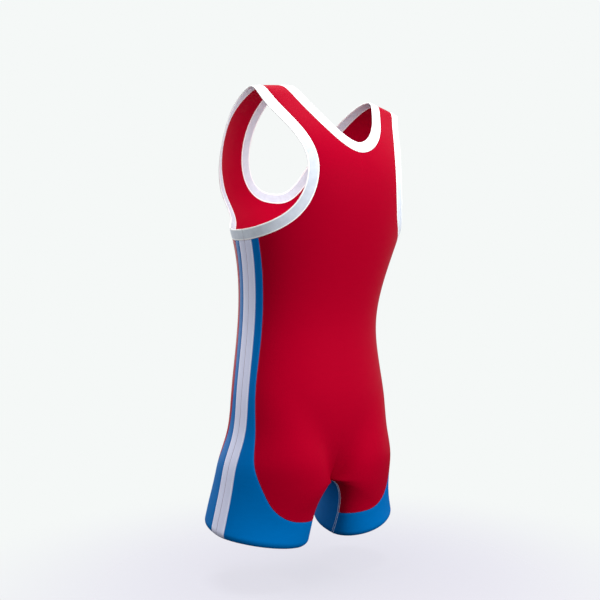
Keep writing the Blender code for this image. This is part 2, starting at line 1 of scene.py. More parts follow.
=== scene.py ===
"""Wrestling singlet, dressed: knit panels, bindings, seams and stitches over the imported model.

Metres, +Z up, X to the wearer's left and Y to the wearer's back. A place on the cloth is a pair
(turn, rise). Turn runs round the left half, from 0 at the centre front or the inseam, through
0.5 at the side seam, to 1 at the centre back or the inseam again. Rise is 0 at the chest,
negative below it, and above it follows the straps up to the shoulder line.
"""
import math

import bmesh
import bpy
import numpy as np
from bpy.props import FloatProperty, PointerProperty, StringProperty
from bpy.types import Operator, Panel, PropertyGroup
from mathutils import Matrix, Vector
from mathutils.kdtree import KDTree


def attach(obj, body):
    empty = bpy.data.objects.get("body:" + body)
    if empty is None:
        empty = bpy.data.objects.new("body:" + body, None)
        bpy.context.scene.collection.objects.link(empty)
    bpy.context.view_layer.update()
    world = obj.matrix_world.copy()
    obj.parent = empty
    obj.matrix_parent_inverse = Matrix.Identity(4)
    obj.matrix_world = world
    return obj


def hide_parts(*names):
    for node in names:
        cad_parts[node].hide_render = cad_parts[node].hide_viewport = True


bl_info = {
    "name": "Wrestling Singlet",
    "version": (1, 0, 0),
    "blender": (4, 5, 0),
    "location": "View3D > Sidebar > Singlet",
    "description": "Sews a wrestling singlet out of knit panels, bindings and stitches",
    "category": "Add Mesh",
}

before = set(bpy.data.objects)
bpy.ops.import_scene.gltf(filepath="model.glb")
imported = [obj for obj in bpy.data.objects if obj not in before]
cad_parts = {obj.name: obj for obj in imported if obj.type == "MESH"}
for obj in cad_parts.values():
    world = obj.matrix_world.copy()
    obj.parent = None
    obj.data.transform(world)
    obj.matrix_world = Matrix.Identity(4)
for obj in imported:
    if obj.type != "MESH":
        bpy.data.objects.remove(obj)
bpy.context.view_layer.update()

BODY = "root"
HALVES = ("left", "right")

# Cloth and seams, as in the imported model
CLOTH = 0.0015             # knit body cloth
BINDING_CLOTH = 0.0021     # folded elastic binding
BINDING_PROUD = 0.0003     # how far the binding stands over the body cloth on each side
SEAM_GAP = 0.00008         # between neighbouring pieces, which a sewn seam all but closes
BINDING_WIDTH = 0.019
STRIPE_WIDTH = 0.019       # one half of the side stripe

# Trunk and leg sections: half the width, the depths in front of and behind the side seam, and
# the side seam's place from front to back
SECTIONS = (
    # name, height, half_width, front, back, side_y
    ("chest", -0.150, 0.174, 0.145, 0.127, -0.030),
    ("ribs", -0.214, 0.161, 0.126, 0.115, -0.028),
    ("waist", -0.393, 0.129, 0.104, 0.091, -0.054),
    ("hip", -0.523, 0.144, 0.112, 0.095, -0.051),
    ("seat", -0.583, 0.151, 0.119, 0.091, -0.052),
    ("low seat", -0.628, 0.164, 0.122, 0.084, -0.056),
    ("crotch", -0.664, 0.170, 0.123, 0.068, -0.059),
    ("thigh", -0.710, 0.179, 0.123, 0.053, -0.062),
    ("hem", -0.760, 0.190, 0.124, 0.059, -0.064),
)
CHEST_Z, CHEST_HALF_WIDTH = SECTIONS[0][1], SECTIONS[0][2]
CROTCH_Z, HEM_Z = SECTIONS[-3][1], SECTIONS[-1][1]
HEM_SIDE_Y = SECTIONS[-1][5]
CHEST_HEIGHT = -CHEST_Z
SECTION_POWER = 2.4        # 2 is an ellipse, more is squarer

# Shoulders
SHOULDER_RISE = CHEST_HEIGHT * math.pi / 2
STRAP_MIDDLE = 0.122       # from the centre, where the straps bear at height 0
SHOULDER_SLOPE = 0.7       # drop in metres for each square metre of distance from the centre
FRONT_HOLLOW = 0.15        # how far the straps draw in between chest and shoulder
BACK_HOLLOW = 0.39
TOP_POWER = 8              # how near the top the straps round over the shoulders

# Crotch and legs
CROTCH_Y = 0.006
CROTCH_CURVE = 0.100       # height over which the centre lines curve under
LEG_BLEND = 0.200          # how far above the crotch the trunk begins to divide into legs
LEG_DROP = 0.060           # and how far below it the outsides of the legs are done
LEG_OPENING = 0.110        # height over which the insides of the legs part
FORK_POWER = 5             # how close to the centre the fork stays
FRONT_TUCK = 0.016         # how far the front draws in towards the crotch
TUCK_TOP, TUCK_HEIGHT = -0.460, 0.140    # where that begins, and over what height
CREASE_POWER = 30          # how close to the crotch's crease and the inseam their arch keeps
LEG_CURVE, CREASE_CURVE = 2, 0.5    # how the trunk turns to leg, off the crease and on it
INSEAM_GAP = 0.032         # from the centre to the inseam at the hem
INSEAM_HEM_Y = -0.024
INSEAM_POWER = 3.1         # how quickly the arch between the legs opens
INSEAM_SWEEP = 1.5         # how late the inseam goes forward on its way down
INSEAM_BEYOND = 1.3        # how far down its curves are drawn, past the hem, in its heights
HEM_ROLL = 0.014           # radius of the turned-in leg hem
HEM_ROLL_HEIGHT = 0.0125   # height over which it turns in
HEM_ROLL_MOST = 0.95       # share of the radius where the roll stops
HEM_OUTER_RISE = 0.14      # the hem climbs towards the outside of the leg
HEM_BACK_DROP = 0.09       # and drops towards the back
LEG_CENTRE_X, LEG_RADIUS = 0.095, 0.085

# Neckline: half its width at the shoulder, the rise of its lowest point, its squareness
NECK_HALF_WIDTH = 0.086
FRONT_NECK = (0.006, 2.6)
BACK_NECK = (0.056, 1.8)

# Armhole from the front shoulder, under the arm, to the back shoulder
ARMHOLE = (
    # place, share of the height from underarm to shoulder, distance from the centre, side
    ("front shoulder", 1.00, 0.158, "front"),
    ("front strap", 0.62, 0.166, "front"),
    ("front chest", 0.33, 0.150, "front"),
    ("front underarm", 0.12, 0.126, "front"),
    ("underarm", 0.00, None, "side"),
    ("back underarm", 0.12, 0.118, "back"),
    ("shoulder blade", 0.33, 0.101, "back"),
    ("back strap", 0.62, 0.137, "back"),
    ("back shoulder", 1.00, 0.158, "back"),
)
UNDERARM_RISE = -0.085
ARMHOLE_TURN_SCALE = 0.5   # metres that one unit of turn counts for along a seam's curve
ARMHOLE_KNOT_POWER = 0.75
SHOULDER_EDGE = ARMHOLE[0][2]
ARMHOLE_PIECES = ("front_body", "front_side_panel", "side_stripe_front", "side_stripe_back",
                  "back_side_panel", "back_body")    # in their order along its seam
UNDERARM_REACH = 0.2       # turn on each side of the side seam where the underarm's seams start

# Where the red body meets the blue side panels: first beside the stripe, then across the leg to
# the inseam
FRONT_END_Z, BACK_END_Z = -0.667, -0.728
FRONT_STRIP = (
    # height, distance from the side seam
    (-0.320, 0.036), (-0.420, 0.036), (-0.550, 0.038), (-0.595, 0.047), (-0.630, 0.062),
)
FRONT_LEG = (
    # height, turn
    (-0.645, 0.360), (-0.655, 0.290), (-0.661, 0.210), (-0.6645, 0.130), (-0.6665, 0.060),
    (FRONT_END_Z, 0.0),
)
BACK_STRIP = (
    (-0.320, 0.036), (-0.420, 0.036), (-0.550, 0.038), (-0.587, 0.044), (-0.624, 0.055),
)
BACK_LEG = (
    (-0.659, 0.652), (-0.6825, 0.684), (-0.7015, 0.720), (-0.7145, 0.762), (-0.721, 0.803),
    (-0.724, 0.850), (-0.7265, 0.930), (BACK_END_Z, 1.0),
)
STRIP_WIDTH = FRONT_STRIP[0][1]
SIDE_SEAMS = (
    # seam, distance from the side seam
    ("panel_front", -STRIP_WIDTH), ("stripe_front", -STRIPE_WIDTH), ("side", 0),
    ("stripe_back", STRIPE_WIDTH), ("panel_back", STRIP_WIDTH),
)
KNEE_Z = -0.640            # below this the side panels widen over the legs

# Fine mesh counts
ARMHOLE_ROWS = 52          # shoulder to the side panel
STRIP_ROWS = 60            # armhole to KNEE_Z
CROTCH_ROWS = 12           # crotch to the end of the red on the back, the first to its front
INSEAM_ROWS = 8            # from there to the hem's roll
INSEAM_ROW_POWER = 1.5     # how much closer the crotch rows stand at the front
FAN_ROWS = 36              # KNEE_Z to the crotch
# Heights of the leg's last rows over its hem
HEM_STEPS = (0.018, 0.0145, 0.0125, 0.011, 0.0096, 0.0083, 0.007, 0.0057, 0.0045, 0.0033,
             0.0022, 0.0011, 0.0)
FRONT_NECK_ROWS = 48
BACK_NECK_ROWS = 46
BODY_COLUMNS = 34
EDGE_LINES = (0.00015, 0.0005, 0.0015, 0.0035)    # lines of the mesh beside each edge
NARROW_SHARES = (0, 0.02, 0.045, 0.1, 0.2, 0.35, 0.5, 0.65, 0.8, 0.9, 0.955, 0.98, 1)
CURVE_SAMPLES = 900        # points on a curve before it is cut into rows
BEND_LENGTH = 0.05         # length that one radian of bend counts for between rows
SLOPE_STEP = 1e-5          # step for the surface's slopes
MERGE = 2e-5               # corners closer than this are one
ON_CENTRE = 1e-6           # points closer than this to the centre plane are on it
NEAREST_STEPS = 4          # steps that find the nearest place of the surface
ASIDE_STEPS = 4            # steps that take a line sideways
HEM_PASSES = 6             # steps that find the hem under a turn
SIDE_SAMPLES = 21          # points between the side seam and a place beside it
BLUNT_CORNER = 0.05        # edges that turn by less than twice this, in radians, move as one
EDGE_MARK = 0.0005         # spacing of the marks from which distances to an edge are taken
GIRTH_ROWS, GIRTH_COLUMNS = 90, 121    # the table of distances round the body
GIRTH_MARGIN = 0.03        # how far below the hem it reaches

# Sewn and folded edges
EDGE_ROUND = 0.0006        # radius of a wall's edge
SEAM_VALLEY = 0.00022      # how deep the cloth dips along a seam
SEAM_REACH = 0.0028        # and over what distance
SMOOTH_ANGLE = math.radians(75)

# Knit and thread
WAVE_PERIOD = math.pi / 10    # a wave texture's bands at scale 1
MIX_A, MIX_B, MIX_RESULT = 6, 7, 2    # a Mix node's sockets for colours; its share is socket 0
WALE = 0.0011              # upright ribs of the knit: 0.4 mm on the real cloth, too fine to show
COURSE = 0.0016            # rows of the knit, coarser than the real 0.5 mm for the same reason
KNIT_RELIEF = 0.00008
KNIT_DEPTH = 1.0           # how much the loops show in the colour
DYE_STREAKS = (40, 260, 1)    # how often in a metre the yarn's dye varies: round, up
DYE_SPREAD = (0.38, 0.62)  # how far the yarn's own dye varies between shade and colour
DIMPLE = 0.009             # where the yarn's pull varies
DIMPLE_RELIEF = 0.0002
RIB = 0.0014               # ribs across the binding
RIB_RELIEF = 0.00015
RIB_DEPTH = 0.3            # how much the ribs show in the colour
THREAD_FIBRE = 0.0004
THREAD_SPREAD = (0.85, 1.1)    # how far the fibres' brightness varies
SEAM_PAINTED_SHADE = 0.72          # painted shade: how dark the colour is made in a seam's valley and at an edge
SEAM_PAINTED_SHADE_REACH = 0.0016
FOLD_HIGHLIGHT = (0.0016, 0.0028)    # painted highlight: the binding's folded edges take a bright colour this far in
BINDING_MOTTLE = 0.012          # patches where the binding's ribs open a little

# Stitches
STITCH_SPACING, STITCH_LENGTH, THREAD_SIZE = 0.0034, 0.0026, 0.0005
STITCH_SEGMENTS, STITCH_RINGS = 6, 5
SHOULDER_POINTS, JOINT_POINTS = 12, 8    # on the rows over the shoulder and across a binding
SIDE_SEAM_SPACING, SIDE_SEAM_THREAD = 0.8, 1.8    # in lengths of a stitch, and in usual threads
INSEAM_THREAD = 2
ROW_TRIMS = {
    # row: how far it stops short of its seam's start and end
    "panel": (0.002, 0.004),
    "shoulder": (0.002, 0.002),
    "stripe": (0.002, 0.001),
    "side": (0.001, 0.001),
    "binding": (0.001, 0.001),
    "inseam": (0.001, 0.002),
}

# Studio
IMAGE_SIDE = 600
VIEW_CENTRE = (316.26, 318.95)    # the pixel straight ahead of the camera
VIEW_FOCAL = 780                  # in pixels
SENSOR = 36                       # in millimetres
VIEW_ANGLE = math.radians(53.403)
VIEW_DISTANCE = 1.3856
VIEW_MIDDLE = Vector((0, -0.03227, -0.3839))
FLOOR_Z = -0.84            # the singlet hangs as it is worn, its hems clear of the floor
PAPER_RADIUS, PAPER_SEGMENTS = 1.2, 96
PAPER_SHADE_FADE = (0.2, 0.76)   # where its painted shade fades out, from its middle
PAPER_GLOW = 0.84          # share of the paper's tone that no shadow takes away
FLAG_RADIUS, FLAG_SEGMENTS = 3.0, 48
FLAG_DROP = 0.05           # from the paper down to the board that keeps light from below out
FLAG_GREY = "#3C3C3C"
WHITE_BEYOND = "#F5F8F7"
LAMPS = (
    # name, place, size, whether it casts shadows
    ("Overhead", (0.2, 0.0, 1.5), 1.6, True),
    ("Key", (-0.62, 1.87, 0.05), 0.8, False),
    ("Fill", (1.93, 0.49, -0.38), 0.8, False),
    ("Front", (0.3, -2.0, -0.1), 0.8, False),
)


# The surface

def spline(knots, values, at, start_slope=None, end_slope=None):
    """Cubic curve through the values; an end without a slope is left straight."""
    knots, values = np.asarray(knots, float), np.asarray(values, float)
    steps = np.diff(knots)
    rates = np.diff(values, axis=0) / steps[:, None]
    count = len(knots)
    matrix, right = np.zeros((count, count)), np.zeros_like(values)
    for i in range(1, count - 1):
        matrix[i, i - 1:i + 2] = steps[i], 2 * (steps[i] + steps[i - 1]), steps[i - 1]
        right[i] = 3 * (steps[i] * rates[i - 1] + steps[i - 1] * rates[i])
    matrix[0, :2], right[0] = (2, 1), 3 * rates[0]
    matrix[-1, -2:], right[-1] = (1, 2), 3 * rates[-1]
    if start_slope is not None:
        matrix[0, :2], right[0] = (1, 0), start_slope
    if end_slope is not None:
        matrix[-1, -2:], right[-1] = (0, 1), end_slope
    slopes = np.linalg.solve(matrix, right)
    at = np.asarray(at, float)
    k = np.clip(np.searchsorted(knots, at, side="right") - 1, 0, count - 2)
    step = steps[k][..., None]
    u = ((at - knots[k]) / steps[k])[..., None]
    return ((1 + 2 * u) * (1 - u) ** 2 * values[k] + u * (1 - u) ** 2 * step * slopes[k]
            + u * u * (3 - 2 * u) * values[k + 1] + u * u * (u - 1) * step * slopes[k + 1])


def ease(share):
    """0 to 1 with level ends."""
    share = np.clip(share, 0, 1)
    return share * share * (3 - 2 * share)


def section(height):
    """Half width, front depth, back depth and side seam place at a height."""
    rows = SECTIONS[::-1]
    return np.moveaxis(spline([row[1] for row in rows], [row[2:] for row in rows],
                              np.minimum(height, CHEST_Z), end_slope=0.0), -1, 0)


def round_section(turn):
    """Sine and cosine of a squared ellipse, so that the section is a soft oblong."""
    sine, cosine = np.sin(np.pi * turn), np.cos(np.pi * turn)
    size = (np.abs(sine) ** SECTION_POWER + np.abs(cosine) ** SECTION_POWER) ** (1 / SECTION_POWER)
    return sine / size, cosine / size


def inseam(height, closeness):
    """The inseam's distance from the centre and its place from front to back.

    closeness is 1 on the inseam itself, where the gap opens like an arch, and falls to 0 on the
    rest of the leg, where it opens slowly.
    """
    share = np.clip((CROTCH_Z - height) / (CROTCH_Z - HEM_Z), 0, INSEAM_BEYOND)
    arch = np.sqrt(1 - np.maximum(1 - share, 0) ** INSEAM_POWER)
    slow = ease((CROTCH_Z + LEG_OPENING / 2 - height) / LEG_OPENING)
    return (INSEAM_GAP * (slow + (arch - slow) * closeness),
            CROTCH_Y + (INSEAM_HEM_Y - CROTCH_Y) * share ** INSEAM_SWEEP)


def hem_rise(x, y):
    """The rise of the leg hem's edge under a point of the leg."""
    return (HEM_Z - CHEST_Z + HEM_OUTER_RISE * (x - LEG_CENTRE_X)
            - HEM_BACK_DROP * (y - HEM_SIDE_Y))


def surface(turn, rise):
    """The point of the cloth's outer face at a turn and a rise."""
    turn, rise = np.broadcast_arrays(np.asarray(turn, float), np.asarray(rise, float))
    height = np.minimum(rise, 0) + CHEST_Z
    half_width, front, back, side_y = section(height)
    sine, cosine = round_section(turn)
    is_front = turn < 0.5
    # Above the chest each line rises and leans over to the shoulder line
    lean = np.clip(rise, 0, None) / CHEST_HEIGHT
    hollow = np.where(is_front, FRONT_HOLLOW, BACK_HOLLOW)
    x = half_width * sine
    shoulder_z = CLOTH - SHOULDER_SLOPE * (x * x - STRAP_MIDDLE ** 2)
    z = height + (shoulder_z - CHEST_Z) * np.sin(lean)
    y = np.cos(lean) * (side_y * (1 - np.sin(lean) ** TOP_POWER)
                        - np.where(is_front, front, back) * cosine
                        * (1 - hollow * np.sin(lean) ** 2))
    # Below the hips the half trunk closes into a leg. The centre lines curve under like a
    # quarter of an ellipse; away from them the change is softer, and ends below the crotch
    nearness = np.abs(np.cos(np.pi * turn))
    at_centre, at_crease = nearness ** FORK_POWER, nearness ** CREASE_POWER
    tuck = FRONT_TUCK * ease((TUCK_TOP - height) / TUCK_HEIGHT) * at_centre
    y = y + np.where(is_front, tuck, 0)
    start = LEG_BLEND + (CROTCH_CURVE - LEG_BLEND) * at_centre
    end = LEG_DROP * (1 - at_centre)
    under = np.clip((CROTCH_Z + start - height) / (start + end), 0, 1)
    share = 1 - (1 - under * under) ** (LEG_CURVE + (CREASE_CURVE - LEG_CURVE) * at_crease)
    gap, inseam_y = inseam(height, at_crease)
    round_leg = 2 * np.pi * turn
    leg_x = (half_width + gap) / 2 - (half_width - gap) / 2 * np.cos(round_leg)
    leg_y = (side_y + (inseam_y - side_y) * (0.5 + 0.5 * np.cos(round_leg))
             - np.where(np.sin(round_leg) > 0, front, back) * np.sin(round_leg))
    x, y = x + (leg_x - x) * share, y + (leg_y - y) * share
    # The last few millimetres of the leg roll inwards
    drop = np.clip(HEM_ROLL_HEIGHT - (rise - hem_rise(x, y)), 0, HEM_ROLL_MOST * HEM_ROLL)
    shrink = 1 - (HEM_ROLL - np.sqrt(HEM_ROLL ** 2 - drop * drop)) / LEG_RADIUS
    shrink = np.where(height < CROTCH_Z, shrink, 1)
    centre_x, centre_y = (half_width + gap) / 2, side_y + (back - front) / 2
    return np.stack([centre_x + (x - centre_x) * shrink,
                     centre_y + (y - centre_y) * shrink, z], -1)


def slopes(places):
    """How the surface moves with turn and with rise."""
    turn, rise = places[..., 0], places[..., 1]
    step = SLOPE_STEP
    before, after = np.clip(turn - step, 0, 1 - step), np.clip(turn + step, step, 1)
    along_turn = (surface(after, rise) - surface(before, rise)) / (after - before)[..., None]
    along_rise = (surface(turn, rise + step) - surface(turn, rise - step)) / (2 * step)
    return along_turn, along_rise


def normal(places):
    """The surface's outward direction. On the centre plane it keeps to that plane."""
    along_turn, along_rise = slopes(places)
    out = np.cross(along_turn, along_rise)
    on_centre = np.abs(surface(places[..., 0], places[..., 1])[..., 0]) < ON_CENTRE
    out[..., 0] = np.where(on_centre, 0, out[..., 0])
    return out / np.linalg.norm(out, axis=-1, keepdims=True)


# Curves on the surface, as rows of (turn, rise)

def lengths(path):
    """Distance along the cloth from the path's start to each of its points."""
    points = surface(path[:, 0], path[:, 1])
    return np.concatenate([[0], np.cumsum(np.linalg.norm(np.diff(points, axis=0), axis=1))])


def at_index(path, index):
    """The path's places at fractional indices."""
    return np.stack([np.interp(index, np.arange(len(path)), path[:, k]) for k in (0, 1)], 1)


def turning(directions):
    """How far a row of directions has turned by each of them, in radians."""
    bends = np.arccos(np.clip((directions[1:] * directions[:-1]).sum(1), -1, 1))
    return np.concatenate([[0], np.cumsum(bends)])


def even(path, rows, start=0, end=None, bend_length=BEND_LENGTH):
    """Indices that cut the path between two of them into even rows, closer in bends and twists."""
    end = len(path) - 1 if end is None else end
    index = np.arange(len(path))
    heading = np.gradient(surface(path[:, 0], path[:, 1]), axis=0)
    heading /= np.linalg.norm(heading, axis=1, keepdims=True)
    run = lengths(path) + bend_length * (turning(heading) + turning(normal(path)))
    ends = np.interp([start, end], index, run)
    return np.interp(np.linspace(*ends, rows + 1), run, index)


def spaced(path, start, end):
    """Indices between two of a path's, closer together near both."""
    run = lengths(path)
    first, last = np.interp([start, end], np.arange(len(path)), run)
    return np.interp(first + (last - first) * np.array(NARROW_SHARES), run, np.arange(len(path)))


def cut(path, rows, start=0, end=None):
    """The path between two indices, in even rows."""
    return at_index(path, even(path, rows, start, end))


def chain(*paths):
    """Paths end to end, with each shared point once."""
    return np.concatenate([paths[0]] + [path[1:] for path in paths[1:]])


def between(start, end, columns):
    """A straight path between two places."""
    return np.linspace(start, end, columns + 1)


def narrow(start, end):
    """A straight path between two places, with its points closer together near both."""
    return start + (end - start) * np.array(NARROW_SHARES)[:, None]


def upright(turns, rises):
    """A path through the given turns and rises."""
    return np.stack(np.broadcast_arrays(turns, rises), 1).astype(float)


def settle(places, points):
    """The places of the surface nearest to points, from places close to them."""
    for _ in range(NEAREST_STEPS):
        frames = np.stack(slopes(places), -1)
        misses = points - surface(places[..., 0], places[..., 1])
        places = places + (np.linalg.pinv(frames) @ misses[..., None])[..., 0]
    return places


def sideways(path, distance):
    """The places a distance to the path's left along the cloth, seen from outside."""
    heading = np.gradient(surface(path[:, 0], path[:, 1]), axis=0)
    heading /= np.linalg.norm(heading, axis=1, keepdims=True)
    across = np.cross(normal(path), heading)
    places = path
    for _ in range(ASIDE_STEPS):
        points = surface(places[:, 0], places[:, 1])
        places = settle(places, points + across * distance / ASIDE_STEPS)
    return places


def turn_at(rise, distance):
    """The turn at a distance from the side seam along the level line, positive to the back."""
    turns = np.linspace(0, 1, CURVE_SAMPLES + 1)
    run = lengths(upright(turns, rise))
    return np.interp(distance, run - run[CURVE_SAMPLES // 2], turns)


def side_distance(place):
    """The distance from the side seam along the level line, positive to the back."""
    run = lengths(upright(np.linspace(0.5, place[0], SIDE_SAMPLES), place[1]))[-1]
    return math.copysign(run, place[0] - 0.5)


def turn_of(x, side):
    """The turn above the chest at a distance from the centre."""
    share = x / CHEST_HALF_WIDTH
    angle = math.atan2(share, (1 - share ** SECTION_POWER) ** (1 / SECTION_POWER))
    return angle / math.pi if side == "front" else 1 - angle / math.pi


def neck_edge(side):
    """From the shoulder to the centre."""
    lowest, power = FRONT_NECK if side == "front" else BACK_NECK
    angle = np.linspace(math.pi / 2, 0, CURVE_SAMPLES + 1)
    size = (np.sin(angle) ** power + np.cos(angle) ** power) ** (1 / power)
    x = NECK_HALF_WIDTH * np.sin(angle) / size
    rise = SHOULDER_RISE - (SHOULDER_RISE - lowest) * np.cos(angle) / size
    rise[0] = SHOULDER_RISE
    return upright([turn_of(value, side) for value in x], rise)


def armhole_edge():
    """From the front shoulder, under the arm, to the back shoulder."""
    height = SHOULDER_RISE - UNDERARM_RISE
    knots = np.array([(0.5 if x is None else turn_of(x, side), UNDERARM_RISE + height * share)
                      for _, share, x, side in ARMHOLE])
    spans = np.linalg.norm(np.diff(knots, axis=0) * (ARMHOLE_TURN_SCALE, 1), axis=1)
    run = np.concatenate([[0], np.cumsum(spans ** ARMHOLE_KNOT_POWER)])
    level = height * (1 - ARMHOLE[1][1]) / run[1]
    path = spline(run, knots, np.linspace(0, run[-1], CURVE_SAMPLES + 1),
                  start_slope=(0, -level), end_slope=(0, level))
    path[[0, -1], 1] = SHOULDER_RISE
    return path


def panel_edge(start_rise, sign, strip, leg):
    """Where red meets blue, from the armhole to the inseam."""
    knots = [(turn_at(start_rise, sign * STRIP_WIDTH), start_rise)]
    knots += [(turn_at(height - CHEST_Z, sign * distance), height - CHEST_Z)
              for height, distance in strip]
    knots += [(turn, height - CHEST_Z) for height, turn in leg]
    knots = np.array(knots)
    spans = np.linalg.norm(np.diff(knots, axis=0) * (ARMHOLE_TURN_SCALE, 1), axis=1)
    run = np.concatenate([[0], np.cumsum(spans)])
    path = spline(run, knots, np.linspace(0, run[-1], CURVE_SAMPLES + 1))
    path[-1] = knots[-1]
    return path


# Seams shared by the pieces

def hem_under(turn):
    """The hem's rise at a turn."""
    rise = HEM_Z - CHEST_Z
    for _ in range(HEM_PASSES):
        x, y, _ = surface(turn, rise)
        rise = float(hem_rise(x, y))
    return rise


def side_line(distance, start, leg_rows):
    """A line down the side at a distance from the side seam, from the armhole to the hem."""
    hem = hem_under(turn_at(HEM_Z - CHEST_Z, distance))
    rises = np.concatenate([
        np.linspace(start, KNEE_Z - CHEST_Z, STRIP_ROWS + 1),
        np.linspace(KNEE_Z - CHEST_Z, hem + HEM_STEPS[0], leg_rows + 1)[1:],
        hem + np.array(HEM_STEPS[1:])])
    return upright([turn_at(rise, distance) for rise in rises], rises)


def inseam_line(turn):
    """The inseam from the crotch to the hem, past the ends of the red at its front and back."""
    crotch, front_end, back_end = (z - CHEST_Z for z in (CROTCH_Z, FRONT_END_Z, BACK_END_Z))
    hem = hem_under(turn)
    return upright(turn, np.concatenate([
        [crotch],
        front_end + (back_end - front_end) * np.linspace(0, 1, CROTCH_ROWS) ** INSEAM_ROW_POWER,
        np.linspace(back_end, hem + HEM_STEPS[0], INSEAM_ROWS + 1)[1:],
        hem + np.array(HEM_STEPS[1:])]))


def centre_line(turn, start, armhole_bottom, rows_above):
    """The centre front or back from the neck seam to the crotch."""
    under = upright(turn, CROTCH_Z - CHEST_Z + (KNEE_Z - CROTCH_Z)
                    * np.linspace(1, 0, CURVE_SAMPLES) ** 2)
    return chain(upright(turn, np.linspace(start, armhole_bottom, rows_above + 1)),
                 upright(turn, np.linspace(armhole_bottom, KNEE_Z - CHEST_Z, STRIP_ROWS + 1)),
                 at_index(under, even(under, FAN_ROWS, bend_length=0)))


def shared_seams():
    """Every seam line of the left half, cut into the rows that its two pieces share.

    A binding's entry is a pair, the bound edge and the seam below it, in the same rows.
    """
    seams = {}
    edge = armhole_edge()
    seam = sideways(edge, -BINDING_WIDTH)
    for end, side in ((0, "front"), (-1, "back")):
        seam[end] = turn_of(SHOULDER_EDGE - BINDING_WIDTH, side), SHOULDER_RISE
    low = np.flatnonzero((seam[:, 1] < 0) & (np.abs(seam[:, 0] - 0.5) < UNDERARM_REACH))
    marks = np.interp([distance for _, distance in SIDE_SEAMS],
                      [side_distance(seam[k]) for k in low], low)
    ends = [0, *marks, len(seam) - 1]
    cuts = [even(seam, ARMHOLE_ROWS, *ends[:2])]
    cuts += [spaced(seam, *step) for step in zip(ends[1:], ends[2:-1])]
    cuts.append(even(seam, ARMHOLE_ROWS, *ends[-2:]))
    seams["armhole"] = {piece: at_index(seam, index)
                        for piece, index in zip(ARMHOLE_PIECES, cuts)}
    ring = np.concatenate([cuts[0]] + [index[1:] for index in cuts[1:]])
    seams["armhole_ring"] = at_index(edge, ring), at_index(seam, ring)
    starts = {name: rise for (name, _), rise in zip(SIDE_SEAMS, at_index(seam, marks)[:, 1])}

    for side, sign, rows in (("front", 1, FRONT_NECK_ROWS), ("back", -1, BACK_NECK_ROWS)):
        edge = neck_edge(side)
        seam = sideways(edge, sign * BINDING_WIDTH)
        seam[0] = turn_of(NECK_HALF_WIDTH + BINDING_WIDTH, side), SHOULDER_RISE
        seam[-1, 0] = edge[-1, 0]
        index = even(seam, rows)
        seams["neck_" + side] = at_index(edge, index), at_index(seam, index)

    for side, sign, strip, leg, fan_rows in (
            ("front", -1, FRONT_STRIP, FRONT_LEG, FAN_ROWS + 1),
            ("back", 1, BACK_STRIP, BACK_LEG, FAN_ROWS + CROTCH_ROWS)):
        path = panel_edge(starts["panel_" + side], sign, strip, leg)
        knee = np.interp(CHEST_Z - KNEE_Z, -path[:, 1], np.arange(len(path)))
        seams["panel_" + side] = chain(cut(path, STRIP_ROWS, 0, knee), cut(path, fan_rows, knee))
        seams["inseam_" + side] = inseam_line(path[-1, 0])
        seams["centre_" + side] = centre_line(
            path[-1, 0], seams["neck_" + side][1][-1, 1], starts["side"],
            ARMHOLE_ROWS - len(seams["neck_" + side][1]) + 1)

    leg_rows = CROTCH_ROWS - 1 + INSEAM_ROWS
    for name, distance in SIDE_SEAMS[1:-1]:
        seams[name] = side_line(distance, starts[name], leg_rows)
    seams["stripe_back_panel"] = side_line(STRIPE_WIDTH, starts["stripe_back"], INSEAM_ROWS)
    return seams


def drawn_back(left, bottom, right, top):
    """The paths of a piece's four edges, with each seam drawn back by half its gap.

    Each edge is a list of parts, and a part is a path and whether it is sewn to a neighbour. Left
    and right run down, and top and bottom run right, seen from outside.
    """
    back = [(path[::-1], sewn) for edge in (right, top) for path, sewn in reversed(edge)]
    parts = [*left, *bottom, *back]
    places = np.concatenate([path[:-1] for path, _ in parts])
    gaps = np.concatenate([np.full(len(path) - 1, SEAM_GAP / 2 * sewn) for path, sewn in parts])
    points, out = surface(places[:, 0], places[:, 1]), normal(places)
    ahead = np.roll(points, -1, axis=0) - points
    behind = np.roll(ahead, 1, axis=0)
    moves = np.empty_like(points)
    for k in range(len(points)):
        rows = [np.cross(out[k], way / np.linalg.norm(way)) for way in (behind[k], ahead[k])]
        moves[k] = np.linalg.lstsq(np.array([*rows, out[k]]), (gaps[k - 1], gaps[k], 0),
                                   rcond=BLUNT_CORNER)[0]
    places = settle(places, points + moves)
    places = np.concatenate([places, places[:1]])
    ends = np.cumsum([0] + [len(path) - 1 for path, _ in parts])
    drawn = [places[start:end + 1] for start, end in zip(ends, ends[1:])]
    first, second, third = np.cumsum([len(left), len(bottom), len(right)])
    return (drawn[:first], drawn[first:second], [path[::-1] for path in drawn[second:third][::-1]],
            [path[::-1] for path in drawn[third:][::-1]])


def patch(left, right, top, bottom=None, shares=None):
    """A grid of places between its edges; left and right run down, top and bottom run right.

    shares are the columns' places from left to right, even where they aren't given.
    """
    bottom = np.repeat(left[-1:], len(top), axis=0) if bottom is None else bottom
    down = np.linspace(0, 1, len(left))[:, None, None]
    along = np.linspace(0, 1, len(top)) if shares is None else np.array(shares)
    along = along[None, :, None]
    corners = ((1 - down) * ((1 - along) * top[0] + along * top[-1])
               + down * ((1 - along) * bottom[0] + along * bottom[-1]))
    return ((1 - down) * top + down * bottom + (1 - along) * left[:, None]
            + along * right[:, None] - corners)


def hem_rows(top, left, right):
    """The last rows of a leg, at even heights over the hem, with columns under those of top."""
    rows = []
    for step, start, end in zip(HEM_STEPS, left[-len(HEM_STEPS):], right[-len(HEM_STEPS):]):
        turns = np.interp(top[:, 0], top[[0, -1], 0], [start[0], end[0]])
        inner = [hem_under(turn) + step for turn in turns[1:-1]]
        rows.append(upright(turns, [start[1], *inner, end[1]]))
    return np.array(rows)


